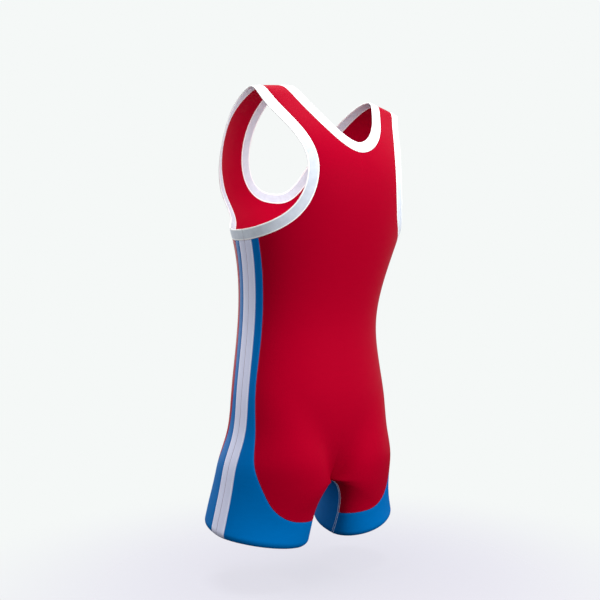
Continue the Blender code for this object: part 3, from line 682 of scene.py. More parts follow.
def leg_patch(left, right, top):
    """A patch that reaches down to the leg's hem."""
    rolled = hem_rows(top, left, right)
    flat = 1 - len(HEM_STEPS)
    return np.concatenate([patch(left[:flat], right[:flat], top, rolled[0]), rolled[1:]])


def binding(edge, seam, seam_side):
    """The strip between a bound edge and its seam."""
    left, right = (seam, edge) if seam_side == "left" else (edge, seam)
    start, end = narrow(left[0], right[0]), narrow(left[-1], right[-1])
    (left,), (end,), (right,), (start,) = drawn_back(
        [(left, seam_side == "left")], [(end, False)], [(right, seam_side == "right")],
        [(start, False)])
    return patch(left, right, start, end, NARROW_SHARES)


# Sheets of cloth

def edge_lines(grid):
    """The grid with lines added just inside its first column."""
    first, second = grid[:, :1], grid[:, 1:2]
    run = np.linalg.norm(surface(second[..., 0], second[..., 1])
                         - surface(first[..., 0], first[..., 1]), axis=-1)
    lines = []
    for k, distance in enumerate(EDGE_LINES):
        share = np.minimum(distance / np.maximum(run, MERGE), (k + 1) / (len(EDGE_LINES) + 1))
        lines.append(first + (second - first) * share[..., None])
    return np.concatenate([first, *lines, grid[:, 1:]], axis=1)


def with_lines(grid, *edges):
    """The grid with lines beside the named edges: left, right, top."""
    if "left" in edges:
        grid = edge_lines(grid)
    if "right" in edges:
        grid = edge_lines(grid[:, ::-1])[:, ::-1]
    if "top" in edges:
        grid = edge_lines(grid.transpose(1, 0, 2)).transpose(1, 0, 2)
    return grid


def girths():
    """Distances round the body from the side seam, over a table of rises and turns."""
    rises = np.linspace(HEM_Z - CHEST_Z - GIRTH_MARGIN, SHOULDER_RISE, GIRTH_ROWS)
    turns = np.linspace(0, 1, GIRTH_COLUMNS)
    table = np.array([lengths(upright(turns, rise)) for rise in rises])
    side = GIRTH_COLUMNS // 2
    return rises, turns, table - table[:, side:side + 1]


def on_the_cut(grid):
    """Where each place lies on the flat cloth: metres round from the side seam, and up."""
    rises, turns, table = GIRTHS
    row = np.interp(grid[..., 1], rises, np.arange(len(rises)))
    column = np.interp(grid[..., 0], turns, np.arange(len(turns)))
    low_row = np.minimum(row.astype(int), len(rises) - 2)
    low_column = np.minimum(column.astype(int), len(turns) - 2)
    up, over = row - low_row, column - low_column
    round_it = ((1 - up) * (1 - over) * table[low_row, low_column]
                + up * (1 - over) * table[low_row + 1, low_column]
                + (1 - up) * over * table[low_row, low_column + 1]
                + up * over * table[low_row + 1, low_column + 1])
    return np.stack([round_it, grid[..., 1]], -1)


def along_the_strip(grid):
    """Where each place of a binding lies on its flat strip: metres across, and along it."""
    middle = grid[:, grid.shape[1] // 2]
    across = np.array(NARROW_SHARES) * BINDING_WIDTH
    return np.stack(np.broadcast_arrays(across[None, :], lengths(middle)[:, None]), -1)


def outer_sheet(grids, cuts, half):
    """The open outer face of a piece: its places, sides, faces and the faces' flat corners."""
    sheet = bmesh.new()
    place_of = sheet.verts.layers.float_vector.new("place")
    flat = sheet.loops.layers.uv.new("cut")
    sides = {"left": (1,), "right": (-1,), "both": (1, -1)}[half]
    for side in sides:
        for grid, cut_places in zip(grids, cuts):
            points = surface(grid[..., 0], grid[..., 1]) * (side, 1, 1)
            corners = [[sheet.verts.new(point) for point in row] for row in points]
            for i, j in np.ndindex(grid.shape[:2]):
                corners[i][j][place_of] = (*grid[i, j], side)
            for i, j in np.ndindex(grid.shape[0] - 1, grid.shape[1] - 1):
                spots = [(i, j), (i + 1, j), (i + 1, j + 1), (i, j + 1)][::side]
                face = sheet.faces.new([corners[a][b] for a, b in spots])
                for loop, (a, b) in zip(face.loops, spots):
                    loop[flat].uv = cut_places[a, b]
    bmesh.ops.remove_doubles(sheet, verts=sheet.verts[:], dist=MERGE)
    sheet.verts.index_update()
    places = np.array([corner[place_of] for corner in sheet.verts])
    faces = [[corner.index for corner in face.verts] for face in sheet.faces]
    uvs = [[tuple(loop[flat].uv) for loop in face.loops] for face in sheet.faces]
    rim = [(loop.vert.index, loop.link_loop_next.vert.index)
           for face in sheet.faces for loop in face.loops if loop.edge.is_boundary]
    sheet.free()
    return places, faces, uvs, rim


def edge_distances(points, rim):
    """How far each point is from the sheet's edge."""
    marks = []
    for start, end in rim:
        steps = max(int(np.linalg.norm(points[end] - points[start]) / EDGE_MARK), 1)
        marks.extend(points[start] + (points[end] - points[start]) * share
                     for share in np.linspace(0, 1, steps, endpoint=False))
    tree = KDTree(len(marks))
    for k, mark in enumerate(marks):
        tree.insert(mark, k)
    tree.balance()
    return np.array([tree.find(point)[2] for point in points])


def edge_fall(distance):
    """How far the face falls towards an edge: a rounded corner and a shallow seam valley."""
    inward = np.clip(EDGE_ROUND - distance, 0, EDGE_ROUND)
    corner = EDGE_ROUND - np.sqrt(EDGE_ROUND ** 2 - inward ** 2)
    return corner + SEAM_VALLEY * np.exp(-(distance / SEAM_REACH) ** 2)


def shown(name, data):
    """A new object in the scene."""
    thing = bpy.data.objects.new(name, data)
    bpy.context.scene.collection.objects.link(thing)
    return thing


def sew(node, grids, finish, half, cloth=CLOTH, proud=0.0, cuts=None):
    """One closed wall of cloth over its grids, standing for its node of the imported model."""
    cuts = cuts or [on_the_cut(grid) for grid in grids]
    places, faces, uvs, rim = outer_sheet(grids, cuts, half)
    side = np.stack([places[:, 2], np.ones(len(places)), np.ones(len(places))], -1)
    on_cloth = surface(places[:, 0], places[:, 1]) * side
    out = normal(places[:, :2]) * side
    distance = edge_distances(on_cloth, rim)
    fall = edge_fall(distance)[:, None]
    outer = on_cloth + out * (proud - fall)
    inner = on_cloth + out * (proud - cloth + fall)
    count = len(outer)
    mesh = bpy.data.meshes.new(node + "_cloth")
    inside = [[count + k for k in face[::-1]] for face in faces]
    edges = [(end, start, start + count, end + count) for start, end in rim]
    mesh.from_pydata(np.concatenate([outer, inner]).tolist(), [], faces + inside + edges)
    flat = mesh.uv_layers.new(name="cut")
    corners = [uv for face in uvs for uv in face] + [uv for face in uvs for uv in face[::-1]]
    corners += [(0.0, 0.0)] * (4 * len(edges))
    flat.data.foreach_set("uv", np.array(corners).ravel())
    seam = mesh.attributes.new("seam", "FLOAT", "POINT")
    seam.data.foreach_set("value", np.tile(distance, 2))
    mesh.shade_smooth()
    mesh.set_sharp_from_angle(angle=SMOOTH_ANGLE)
    mesh.materials.append(finish)
    piece = shown(node + "_cloth", mesh)
    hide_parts(node)
    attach(piece, BODY)


# Materials

def linear(colour):
    """An sRGB hex colour as linear red, green, blue and alpha, by the sRGB standard's curve."""
    shares = [int(colour[k:k + 2], 16) / 255 for k in (1, 3, 5)]
    return (*[share / 12.92 if share <= 0.04045 else ((share + 0.055) / 1.055) ** 2.4
              for share in shares], 1.0)


def add(tree, kind, inputs=None, **settings):
    """A node with its settings. An input is a value, or another node's output to link from."""
    made = tree.nodes.new(kind)
    for name, value in settings.items():
        setattr(made, name, value)
    for name, value in (inputs or {}).items():
        if isinstance(value, bpy.types.NodeSocket):
            tree.links.new(value, made.inputs[name])
        else:
            made.inputs[name].default_value = value
    return made


def finish_named(name):
    """An empty material and its tree."""
    finish = bpy.data.materials.new(name)
    finish.use_nodes = True
    finish.node_tree.nodes.clear()
    return finish, finish.node_tree


def tricot(name, colour, shade, sheen):
    """Nylon and elastane warp knit: smooth, with a soft satin gleam and fine upright wales."""
    finish, tree = finish_named(name)
    flat = add(tree, "ShaderNodeUVMap", uv_map="cut").outputs["UV"]
    wales, courses = (
        add(tree, "ShaderNodeTexWave", {"Vector": flat, "Scale": WAVE_PERIOD / spacing},
            wave_type="BANDS", bands_direction=direction, wave_profile="SIN").outputs["Fac"]
        for direction, spacing in (("X", WALE), ("Y", COURSE)))
    knit = add(tree, "ShaderNodeMath", {0: wales, 1: courses}, operation="MULTIPLY").outputs[0]
    # The yarn takes the dye a little unevenly along the courses
    stretched = add(tree, "ShaderNodeMapping", {"Vector": flat, "Scale": DYE_STREAKS}).outputs[0]
    uneven = add(tree, "ShaderNodeTexNoise", {"Vector": stretched, "Scale": 1.0, "Detail": 2.0})
    yarn = add(tree, "ShaderNodeMapRange", {"Value": uneven.outputs["Fac"],
                                            "To Min": DYE_SPREAD[0], "To Max": DYE_SPREAD[1]})
    tone = add(tree, "ShaderNodeMath", {0: knit, 1: KNIT_DEPTH, 2: yarn.outputs[0]},
               operation="MULTIPLY_ADD").outputs[0]
    dye = add(tree, "ShaderNodeMix", {0: tone, MIX_A: linear(shade), MIX_B: linear(colour)},
              data_type="RGBA").outputs[MIX_RESULT]
    # Painted shade: the colour darkens towards each seam and edge of the piece, where the cloth
    # dips into a valley
    seam = add(tree, "ShaderNodeAttribute", attribute_name="seam").outputs["Fac"]
    beside = add(tree, "ShaderNodeMapRange",
                 {"Value": seam, "From Min": 0.0, "From Max": SEAM_PAINTED_SHADE_REACH,
                  "To Min": SEAM_PAINTED_SHADE, "To Max": 1.0}, interpolation_type="SMOOTHSTEP")
    dye_with_painted_seam_shade = add(tree, "ShaderNodeMix", {0: 1.0, MIX_A: dye, MIX_B: beside.outputs[0]},
                 data_type="RGBA", blend_type="MULTIPLY").outputs[MIX_RESULT]
    raised = add(tree, "ShaderNodeBump", {"Height": knit, "Distance": KNIT_RELIEF,
                                          "Strength": 0.5}).outputs[0]
    # Soft dimples where the yarn's pull varies over a few millimetres
    dimples = add(tree, "ShaderNodeTexNoise", {"Vector": flat, "Scale": 1 / DIMPLE, "Detail": 1.0})
    dimpled = add(tree, "ShaderNodeBump", {"Height": dimples.outputs["Fac"], "Strength": 0.3,
                                           "Distance": DIMPLE_RELIEF, "Normal": raised})
    shader = add(tree, "ShaderNodeBsdfPrincipled", {
        "Base Color": dye_with_painted_seam_shade, "Normal": dimpled.outputs[0], "Roughness": 0.5, "IOR": 1.5,
        "Specular IOR Level": 0.05, "Sheen Weight": sheen, "Sheen Roughness": 0.4,
        "Specular Tint": linear(colour), "Sheen Tint": linear(colour)})
    add(tree, "ShaderNodeOutputMaterial", {"Surface": shader.outputs[0]})
    return finish


def rib_binding(name, colour, shade, edge):
    """Folded rib knit: matt white, with ribs across the strip, mottled between a painted highlight
    along each folded edge.
    """
    finish, tree = finish_named(name)
    flat = add(tree, "ShaderNodeUVMap", uv_map="cut").outputs["UV"]
    ribs = add(tree, "ShaderNodeTexWave", {"Vector": flat, "Scale": WAVE_PERIOD / RIB},
               wave_type="BANDS", bands_direction="Y", wave_profile="SIN").outputs["Fac"]
    mottle = add(tree, "ShaderNodeTexNoise", {"Vector": flat, "Scale": 1 / BINDING_MOTTLE,
                                              "Detail": 3.0}).outputs["Fac"]
    open_ribs = add(tree, "ShaderNodeMath", {0: ribs, 1: RIB_DEPTH, 2: mottle},
                    operation="MULTIPLY_ADD").outputs[0]
    face = add(tree, "ShaderNodeMix",
               {0: open_ribs, MIX_A: linear(shade), MIX_B: linear(colour)},
               data_type="RGBA").outputs[MIX_RESULT]
    # Painted highlight: near its edges the binding takes the bright edge colour instead of its
    # mottled face
    seam = add(tree, "ShaderNodeAttribute", attribute_name="seam").outputs["Fac"]
    inside = add(tree, "ShaderNodeMapRange",
                 {"Value": seam, "From Min": FOLD_HIGHLIGHT[0], "From Max": FOLD_HIGHLIGHT[1]},
                 interpolation_type="SMOOTHSTEP").outputs[0]
    dye = add(tree, "ShaderNodeMix", {0: inside, MIX_A: linear(edge), MIX_B: face},
              data_type="RGBA").outputs[MIX_RESULT]
    raised = add(tree, "ShaderNodeBump", {"Height": ribs, "Distance": RIB_RELIEF,
                                          "Strength": 0.6}).outputs[0]
    shader = add(tree, "ShaderNodeBsdfPrincipled", {
        "Base Color": dye, "Normal": raised, "Roughness": 0.8, "IOR": 1.5,
        "Specular IOR Level": 0.1, "Sheen Weight": 0.1, "Sheen Roughness": 0.5})
    add(tree, "ShaderNodeOutputMaterial", {"Surface": shader.outputs[0]})
    return finish


def thread(name, colour):
    """Textured polyester sewing thread: soft, with almost no gleam."""
    finish, tree = finish_named(name)
    place = add(tree, "ShaderNodeTexCoord").outputs["Object"]
    fibres = add(tree, "ShaderNodeTexNoise", {"Vector": place, "Scale": 1 / THREAD_FIBRE})
    dye = add(tree, "ShaderNodeHueSaturation", {"Color": linear(colour)})
    level = add(tree, "ShaderNodeMapRange", {"Value": fibres.outputs["Fac"],
                                             "To Min": THREAD_SPREAD[0],
                                             "To Max": THREAD_SPREAD[1]})
    tree.links.new(level.outputs[0], dye.inputs["Value"])
    shader = add(tree, "ShaderNodeBsdfPrincipled", {
        "Base Color": dye.outputs[0], "Roughness": 0.6, "Specular IOR Level": 0.3})
    add(tree, "ShaderNodeOutputMaterial", {"Surface": shader.outputs[0]})
    return finish


def studio_paper(name, colour):
    """Pale paper lit from inside, so shadows on it are faint. Its tone is painted shade round the
    singlet, and it fades into the white beyond.
    """
    finish, tree = finish_named(name)
    place = add(tree, "ShaderNodeTexCoord").outputs["Object"]
    reach = add(tree, "ShaderNodeVectorMath", {0: place}, operation="LENGTH").outputs["Value"]
    fade = add(tree, "ShaderNodeMapRange",
               {"Value": reach, "From Min": PAPER_SHADE_FADE[0], "From Max": PAPER_SHADE_FADE[1]},
               interpolation_type="SMOOTHSTEP").outputs[0]
    # The paper's colour, darker than the white beyond, is painted shade round the singlet; it
    # fades out from the middle
    matt = add(tree, "ShaderNodeBsdfDiffuse", {"Color": linear(colour)}).outputs[0]
    glow = add(tree, "ShaderNodeEmission", {"Color": linear(colour)}).outputs[0]
    lit = add(tree, "ShaderNodeMixShader", {0: PAPER_GLOW, 1: matt, 2: glow}).outputs[0]
    clear = add(tree, "ShaderNodeBsdfTransparent").outputs[0]
    faded = add(tree, "ShaderNodeMixShader", {0: fade, 1: lit, 2: clear}).outputs[0]
    add(tree, "ShaderNodeOutputMaterial", {"Surface": faded})
    return finish


# Pieces
# Way is 1 on the front and -1 on the back, where what the front has on its left is on the right

def front_and_back(finish):
    """Chest, belly, back and seat, with both straps."""
    for side, way, leg_rows in (("front", 1, 1), ("back", -1, CROTCH_ROWS)):
        neck, centre = SEAMS["neck_" + side][1], SEAMS["centre_" + side]
        leg = SEAMS["inseam_" + side][:leg_rows + 1]
        outer = chain(SEAMS["armhole"][side + "_body"][::way], SEAMS["panel_" + side])
        top = between(*(neck[0], outer[0])[::way], BODY_COLUMNS)
        middle = [(neck, True), (centre, False), (leg, True)]
        left, right = (middle, [(outer, True)])[::way]
        left, _, right, (top,) = drawn_back(left, [], right, [(top, True)])
        grid = patch(chain(*left), chain(*right), top)
        sew(side + "_body", [with_lines(grid, "left", "right", "top")], finish, "both")


def knee_lines(edge, stripe, way):
    """The line across a side panel at KNEE_Z, and the top of the leg, which it is part of."""
    across = narrow(*(edge[STRIP_ROWS], stripe[STRIP_ROWS])[::way])
    return across, chain(*(edge[STRIP_ROWS:][::-way], across)[::way])


def side_panels(finish, half):
    """The panels beside the stripe, which widen to cover the legs."""
    for side, way, inseam_side, stripe, leg_start in (
            ("front", 1, "left", "stripe_front", 1),
            ("back", -1, "right", "stripe_back_panel", CROTCH_ROWS)):
        stripe, armhole = SEAMS[stripe], SEAMS["armhole"][side + "_side_panel"]
        edge, leg = SEAMS["panel_" + side], SEAMS["inseam_" + side][leg_start:]
        _, top = knee_lines(edge, stripe, way)
        hem = hem_rows(top, *(leg, stripe)[::way])[-1]
        left, right = ([(edge, True), (leg, True)], [(stripe, True)])[::way]
        left, _, right, (armhole,) = drawn_back(left, [(hem, False)], right, [(armhole, True)])
        (edge, leg), (stripe,) = (left, right)[::way]
        across, top = knee_lines(edge, stripe, way)
        strip = patch(*(edge[:STRIP_ROWS + 1], stripe[:STRIP_ROWS + 1])[::way], armhole, across,
                      NARROW_SHARES)
        cover = leg_patch(*(leg, stripe[STRIP_ROWS:])[::way], top)
        sew(f"{side}_side_panel_{half}",
            [with_lines(strip, "top"), with_lines(cover, inseam_side, "top")], finish, half)


def side_stripes(finish, half):
    """The two halves of the stripe, which meet at the side seam."""
    for side, left, right in (("front", "stripe_front", "side"), ("back", "side", "stripe_back")):
        left, right, top = SEAMS[left], SEAMS[right], SEAMS["armhole"]["side_stripe_" + side]
        hem = narrow(left[-1], right[-1])
        (left,), (hem,), (right,), (top,) = drawn_back(
            [(left, True)], [(hem, False)], [(right, True)], [(top, True)])
        grid = patch(left, right, top, hem, NARROW_SHARES)
        sew(f"side_stripe_{side}_{half}", [with_lines(grid, "top")], finish, half)


def bindings(finish):
    """The folded strips round the neck and the armholes."""
    neck = [binding(*SEAMS["neck_front"], "right"), binding(*SEAMS["neck_back"], "left")]
    armhole = [binding(*SEAMS["armhole_ring"], "left")]
    for node, pattern, grids, half in (
            ("neck_binding", "neck_binding", neck, "both"),
            *(("armhole_binding_" + half, "armhole_binding", armhole, half) for half in HALVES)):
        sew(node, grids, finish, half, BINDING_CLOTH, BINDING_PROUD,
            [along_the_strip(grid) for grid in grids])


# Stitches

def stitch_tree():
    """A geometry tree that lays one stitch after another along each row of thread."""
    tree = bpy.data.node_groups.new("Row of stitches", "GeometryNodeTree")
    face = tree.interface
    face.new_socket("Rows", in_out="INPUT", socket_type="NodeSocketGeometry")
    sizes = {}
    for name, size in (("Spacing", STITCH_SPACING), ("Length", STITCH_LENGTH),
                       ("Thread", THREAD_SIZE)):
        socket = face.new_socket(name, in_out="INPUT", socket_type="NodeSocketFloat")
        socket.default_value, socket.subtype = size, "DISTANCE"
        sizes[name] = socket.identifier
    socket = face.new_socket("Finish", in_out="INPUT", socket_type="NodeSocketMaterial")
    sizes["Finish"] = socket.identifier
    face.new_socket("Stitches", in_out="OUTPUT", socket_type="NodeSocketGeometry")
    given = add(tree, "NodeGroupInput")
    rows = add(tree, "GeometryNodeMeshToCurve", {"Mesh": given.outputs["Rows"]})
    spots = add(tree, "GeometryNodeResampleCurve",
                {"Curve": rows.outputs[0], "Length": given.outputs["Spacing"]}, mode="LENGTH")
    thick = add(tree, "ShaderNodeCombineXYZ", {"X": given.outputs["Length"],
                                               "Y": given.outputs["Thread"],
                                               "Z": given.outputs["Thread"]}).outputs[0]
    ball = add(tree, "GeometryNodeMeshUVSphere",
               {"Segments": STITCH_SEGMENTS, "Rings": STITCH_RINGS, "Radius": 0.5})
    one = add(tree, "GeometryNodeTransform", {"Geometry": ball.outputs[0], "Scale": thick})
    soft = add(tree, "GeometryNodeSetShadeSmooth", {"Geometry": one.outputs[0]})
    along = add(tree, "GeometryNodeInputTangent").outputs[0]
    out = add(tree, "GeometryNodeInputNamedAttribute", {"Name": "out"},
              data_type="FLOAT_VECTOR").outputs["Attribute"]
    turned = add(tree, "FunctionNodeAlignRotationToVector", {"Vector": along}, axis="X")
    laid = add(tree, "FunctionNodeAlignRotationToVector",
               {"Rotation": turned.outputs[0], "Vector": out}, axis="Z", pivot_axis="X")
    placed = add(tree, "GeometryNodeInstanceOnPoints",
                 {"Points": spots.outputs[0], "Instance": soft.outputs[0],
                  "Rotation": laid.outputs[0]})
    real = add(tree, "GeometryNodeRealizeInstances", {"Geometry": placed.outputs[0]})
    dyed = add(tree, "GeometryNodeSetMaterial", {"Geometry": real.outputs[0],
                                                 "Material": given.outputs["Finish"]})
    result = add(tree, "NodeGroupOutput")
    tree.links.new(dyed.outputs[0], result.inputs["Stitches"])
    return tree, sizes


def row_on(path, aside, side, proud=0.0):
    """A row of thread on the cloth, a distance to the left of a seam line."""
    places = sideways(path, aside) if aside else path
    fall = SEAM_VALLEY * math.exp(-(aside / SEAM_REACH) ** 2)
    mirror = np.array((side, 1, 1))
    out = normal(places)
    points = surface(places[:, 0], places[:, 1]) + out * (proud - fall)
    return points * mirror, out * mirror


def stitch(name, rows, finish, spacing, length, thread_size):
    """Every row sewn with one thread, as one plain mesh."""
    points, outs, links = [], [], []
    for row, out in rows:
        first = len(points)
        points.extend(row.tolist())
        outs.extend(out.tolist())
        links.extend((k, k + 1) for k in range(first, len(points) - 1))
    mesh = bpy.data.meshes.new(name)
    mesh.from_pydata(points, links, [])
    facing = mesh.attributes.new("out", "FLOAT_VECTOR", "POINT")
    facing.data.foreach_set("vector", np.array(outs).ravel())
    guide = shown(name + "_rows", mesh)
    sewing = guide.modifiers.new("Stitches", "NODES")
    sewing.node_group = STITCHES[0]
    for word, value in (("Spacing", spacing), ("Length", length), ("Thread", thread_size),
                        ("Finish", finish)):
        sewing[STITCHES[1][word]] = value
    made = bpy.data.meshes.new_from_object(
        guide.evaluated_get(bpy.context.evaluated_depsgraph_get()))
    bpy.data.objects.remove(guide)
    made.name = name
    piece = shown(name, made)
    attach(piece, BODY)


def trimmed(path, row):
    """A path, cut short at both ends as a row of stitches is."""
    run = lengths(path)
    start, end = ROW_TRIMS[row]
    index = np.interp(np.linspace(start, run[-1] - end, len(path)), run, np.arange(len(path)))
    return at_index(path, index)


def seam_stitches(settings):
    """Needle rows beside the seams, each in the thread of the cloth that it holds."""
    aside = settings.needle_aside
    red, blue, white, grey, centre = [], [], [], [], []
    armhole, armhole_seam = SEAMS["armhole_ring"]
    shoulder = trimmed(between(SEAMS["neck_front"][1][0], SEAMS["armhole"]["front_body"][0],
                               SHOULDER_POINTS), "shoulder")
    middle = int(np.argmin(np.abs(armhole_seam[:, 0] - 0.5)))
    joint = trimmed(between(armhole[middle], armhole_seam[middle], JOINT_POINTS), "binding")
    for side in (1, -1):
        for name, way in (("front", 1), ("back", -1)):
            panel = trimmed(SEAMS["panel_" + name], "panel")
            red.append(row_on(panel, -aside * way, side))
            blue.append(row_on(panel, aside * way, side))
            white.append(row_on(trimmed(SEAMS["stripe_" + name], "stripe"), aside * way, side))
            grey.append(row_on(trimmed(SEAMS["inseam_" + name], "inseam"),
                               settings.inseam_aside * way, side))
        red += [row_on(shoulder, step, side) for step in (-aside, aside)]
        centre.append(row_on(trimmed(SEAMS["side"], "side"), 0, side))
        white.append(row_on(armhole_seam, aside, side, BINDING_PROUD))
        white.append(row_on(SEAMS["neck_front"][1], -aside, side, BINDING_PROUD))
        white.append(row_on(SEAMS["neck_back"][1], aside, side, BINDING_PROUD))
        centre.append(row_on(joint, 0, side, BINDING_PROUD))
    length, size = settings.length, settings.thread
    for name, rows, dyed, colour, slot, spacing, weight in (
            ("red", red, "red", settings.red_thread, "red_knit", settings.spacing, 1),
            ("blue", blue, "blue", settings.blue_thread, "blue_knit", settings.spacing, 1),
            ("white", white, "white", settings.white_thread, "white_binding", settings.spacing, 1),
            ("side_seam", centre, "mauve", settings.seam_thread, "white_knit",
             length * SIDE_SEAM_SPACING, SIDE_SEAM_THREAD),
            ("inseam", grey, "pale grey", settings.inseam_thread, "white_knit", length,
             INSEAM_THREAD)):
        stitch("stitches_" + name, rows, thread(dyed + " polyester thread", colour),
               spacing, length, size * weight)


# Studio

def disc(name, segments, radius, height, finish, hidden_from):
    """A round board of the studio, hidden from some kinds of ray."""
    shape = bmesh.new()
    bmesh.ops.create_circle(shape, cap_ends=True, segments=segments, radius=radius)
    mesh = bpy.data.meshes.new(name)
    shape.to_mesh(mesh)
    shape.free()
    mesh.materials.append(finish)
    board = shown(name, mesh)
    board.location.z = height
    for ray in hidden_from:
        setattr(board, "visible_" + ray, False)


def paper(colour):
    """A round of pale paper under the singlet, its tone painted shade that fades out from the
    middle.
    """
    disc("studio_paper", PAPER_SEGMENTS, PAPER_RADIUS, FLOOR_Z,
         studio_paper("matt pale studio paper", colour), ("diffuse", "glossy"))


def flag():
    """A dark board under the paper, which keeps light from coming up through it."""
    finish, tree = finish_named("grey flag cloth")
    shader = add(tree, "ShaderNodeBsdfDiffuse", {"Color": linear(FLAG_GREY)})
    add(tree, "ShaderNodeOutputMaterial", {"Surface": shader.outputs[0]})
    disc("studio_flag", FLAG_SEGMENTS, FLAG_RADIUS, FLOOR_Z - FLAG_DROP, finish, ("camera",))


def softbox(name, place, size, shadows, power):
    """A soft light that faces the middle of the singlet."""
    light = bpy.data.lights.new(name, "AREA")
    light.shape, light.size, light.energy, light.use_shadow = "DISK", size, power, shadows
    lamp = shown(name, light)
    lamp.location = place
    lamp.rotation_euler = (Vector(place) - VIEW_MIDDLE).to_track_quat("Z", "Y").to_euler()
    lamp.visible_camera = False


def white_world(strength):
    """White beyond the paper, which gives the cloth only a share of its light."""
    world = bpy.data.worlds.new("White studio")
    world.use_nodes = True
    tree = world.node_tree
    tree.nodes.clear()
    seen = add(tree, "ShaderNodeBackground", {"Color": linear(WHITE_BEYOND)}).outputs[0]
    given = add(tree, "ShaderNodeBackground", {"Color": linear(WHITE_BEYOND),
                                               "Strength": strength}).outputs[0]
    ray = add(tree, "ShaderNodeLightPath").outputs["Is Camera Ray"]
    sky = add(tree, "ShaderNodeMixShader", {0: ray, 1: given, 2: seen}).outputs[0]
    add(tree, "ShaderNodeOutputWorld", {"Surface": sky})
    bpy.context.scene.world = world


def camera():
    """The view from behind the left shoulder blade, level with the lower back."""
    lens = bpy.data.cameras.new("Camera")
    lens.sensor_width = SENSOR
    lens.lens = VIEW_FOCAL / IMAGE_SIDE * SENSOR
    lens.shift_x = (IMAGE_SIDE / 2 - VIEW_CENTRE[0]) / IMAGE_SIDE
    lens.shift_y = (VIEW_CENTRE[1] - IMAGE_SIDE / 2) / IMAGE_SIDE
    eye = shown("Camera", lens)
    away = Vector((math.cos(VIEW_ANGLE), math.sin(VIEW_ANGLE), 0))
    eye.location = VIEW_MIDDLE + away * VIEW_DISTANCE
    eye.rotation_euler = away.to_track_quat("Z", "Y").to_euler()
    bpy.context.scene.camera = eye


# Settings, operators and panel

def length_of(name, description, default):
    """A size in metres that a user may change."""
    return FloatProperty(name=name, description=description, default=default, unit="LENGTH",
                         precision=5)


def colour_of(name, description, default):
    """A colour that a user may change."""
    return StringProperty(name=name, description=description + ", as an sRGB hex value",
                          default=default)


def power_of(name, description, default):
    """A lamp's power in watts that a user may change."""
    return FloatProperty(name=name, description=description, default=default, min=0,
                         subtype="POWER")


def knit(cloth, colour):
    """The cloth's knit in one of its colours."""
    return tricot(colour + " satin tricot", getattr(cloth, colour),
                  getattr(cloth, colour + "_shade"), cloth.sheen)


class SingletCloth(PropertyGroup):
    red: colour_of("Red", "Colour of the front and back", "#AA0023")
    red_shade: colour_of("Red shade", "Colour between the red cloth's wales", "#8B001C")
    blue: colour_of("Blue", "Colour of the side panels", "#006BB7")
    blue_shade: colour_of("Blue shade", "Colour between the blue cloth's wales", "#005897")
    white: colour_of("White", "Colour of the side stripe", "#D7D9F2")
    white_shade: colour_of("White shade", "Colour between the white cloth's wales", "#C5C7E0")
    binding: colour_of("Binding", "Colour of the bindings", "#DCE2EE")
    binding_shade: colour_of("Binding shade", "Colour between the bindings' ribs", "#BCC4D2")
    # Painted highlight along the bindings' folded edges
    binding_edge_highlight: colour_of("Binding edge highlight", "Colour of the bindings' folded edges", "#FCFCFE")
    sheen: FloatProperty(name="Gleam", description="Satin gleam of the knit at a low angle",
                         default=0.01, min=0, max=1, subtype="FACTOR")


class SingletStitches(PropertyGroup):
    spacing: length_of("Spacing", "Distance from one stitch to the next", STITCH_SPACING)
    length: length_of("Length", "Length of one stitch", STITCH_LENGTH)
    thread: length_of("Thread", "Thickness of the thread", THREAD_SIZE)
    needle_aside: length_of("Beside seam", "Distance of a needle row from its seam", 0.0022)
    inseam_aside: length_of("Beside inseam", "Half the distance between the inseam's rows", 0.0018)
    red_thread: colour_of("Red thread", "Thread on the red cloth", "#C00028")
    blue_thread: colour_of("Blue thread", "Thread on the blue cloth", "#0072C4")
    white_thread: colour_of("White thread", "Thread on the stripe and the bindings", "#F4F4F8")
    seam_thread: colour_of("Seam thread", "Thread down the middle of the stripe", "#9A92A4")
    inseam_thread: colour_of("Inseam thread", "Thread down the inside of each leg", "#A8B4C8")


class SingletStudio(PropertyGroup):
    # The paper's colour is painted shade round the singlet, fading out to the white beyond
    paper: colour_of("Paper", "Colour of the floor", "#E1E0E9")
    world: FloatProperty(name="White", description="Strength of the light from all round",
                         default=0.72, min=0)
    overhead: power_of("Overhead", "Power of the light above", 38.0)
    key: power_of("Key", "Power of the light behind the singlet's back", 36.0)
    fill: power_of("Fill", "Power of the light at the singlet's left side", 3.5)
    front: power_of("Front", "Power of the light in front of the chest", 13.0)


class SINGLET_OT_front_and_back(Operator):
    """Makes the red front and back"""
    bl_idname = "singlet.front_and_back"
    bl_label = "Front and back"

    def execute(self, context):
        front_and_back(knit(context.scene.singlet_cloth, "red"))
        return {"FINISHED"}


class SINGLET_OT_side_panels(Operator):
    """Makes the blue side panels"""
    bl_idname = "singlet.side_panels"
    bl_label = "Side panels"

    def execute(self, context):
        finish = knit(context.scene.singlet_cloth, "blue")
        for half in HALVES:
            side_panels(finish, half)
        return {"FINISHED"}


class SINGLET_OT_side_stripes(Operator):
    """Makes the white side stripes"""
    bl_idname = "singlet.side_stripes"
    bl_label = "Side stripes"

    def execute(self, context):
        finish = knit(context.scene.singlet_cloth, "white")
        for half in HALVES:
            side_stripes(finish, half)
        return {"FINISHED"}


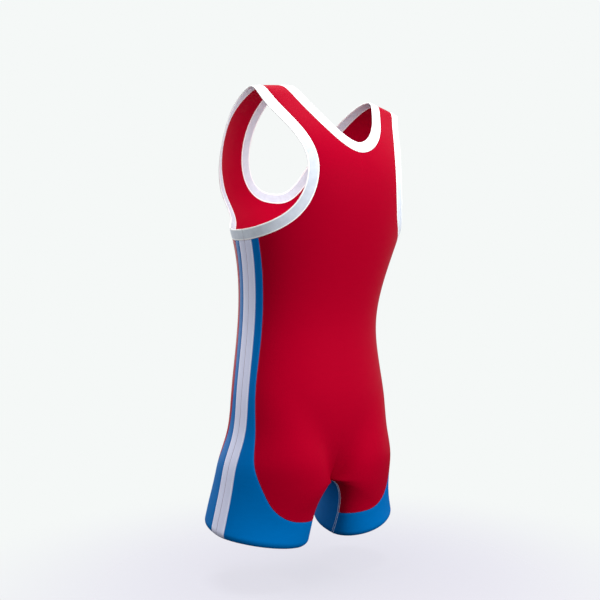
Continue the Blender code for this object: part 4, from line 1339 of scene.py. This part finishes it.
class SINGLET_OT_bindings(Operator):
    """Makes the neck and armhole bindings"""
    bl_idname = "singlet.bindings"
    bl_label = "Bindings"

    def execute(self, context):
        cloth = context.scene.singlet_cloth
        bindings(rib_binding("folded rib knit binding", cloth.binding, cloth.binding_shade,
                             cloth.binding_edge_highlight))
        return {"FINISHED"}


class SINGLET_OT_stitches(Operator):
    """Sews the needle rows beside the seams"""
    bl_idname = "singlet.stitches"
    bl_label = "Stitches"

    def execute(self, context):
        seam_stitches(context.scene.singlet_stitches)
        return {"FINISHED"}


class SINGLET_OT_studio(Operator):
    """Sets up the paper, the lights and the camera"""
    bl_idname = "singlet.studio"
    bl_label = "Studio"

    def execute(self, context):
        studio = context.scene.singlet_studio
        white_world(studio.world)
        paper(studio.paper)
        flag()
        for lamp in LAMPS:
            softbox(*lamp, getattr(studio, lamp[0].lower()))
        camera()
        context.scene.view_settings.view_transform = "Standard"
        return {"FINISHED"}


class SINGLET_PT_sidebar(Panel):
    bl_idname = "SINGLET_PT_sidebar"
    bl_label = "Wrestling Singlet"
    bl_space_type = "VIEW_3D"
    bl_region_type = "UI"
    bl_category = "Singlet"

    def draw(self, context):
        for group, kind in GROUPS.items():
            box = self.layout.box()
            for name in kind.__annotations__:
                box.prop(getattr(context.scene, group), name)
        for operator in OPERATORS:
            self.layout.operator(operator.bl_idname)


GROUPS = {"singlet_cloth": SingletCloth, "singlet_stitches": SingletStitches,
          "singlet_studio": SingletStudio}
OPERATORS = (SINGLET_OT_studio, SINGLET_OT_front_and_back, SINGLET_OT_side_panels,
             SINGLET_OT_side_stripes, SINGLET_OT_bindings, SINGLET_OT_stitches)
CLASSES = (*GROUPS.values(), *OPERATORS, SINGLET_PT_sidebar)


def register():
    for kind in CLASSES:
        bpy.utils.register_class(kind)
    for name, kind in GROUPS.items():
        setattr(bpy.types.Scene, name, PointerProperty(type=kind))


def unregister():
    for name in GROUPS:
        delattr(bpy.types.Scene, name)
    for kind in reversed(CLASSES):
        bpy.utils.unregister_class(kind)


SEAMS = shared_seams()
GIRTHS = girths()
STITCHES = stitch_tree()


def main():
    register()
    for operator in OPERATORS:
        group, name = operator.bl_idname.split(".")
        getattr(getattr(bpy.ops, group), name)()


if __name__ == "__main__":
    main()
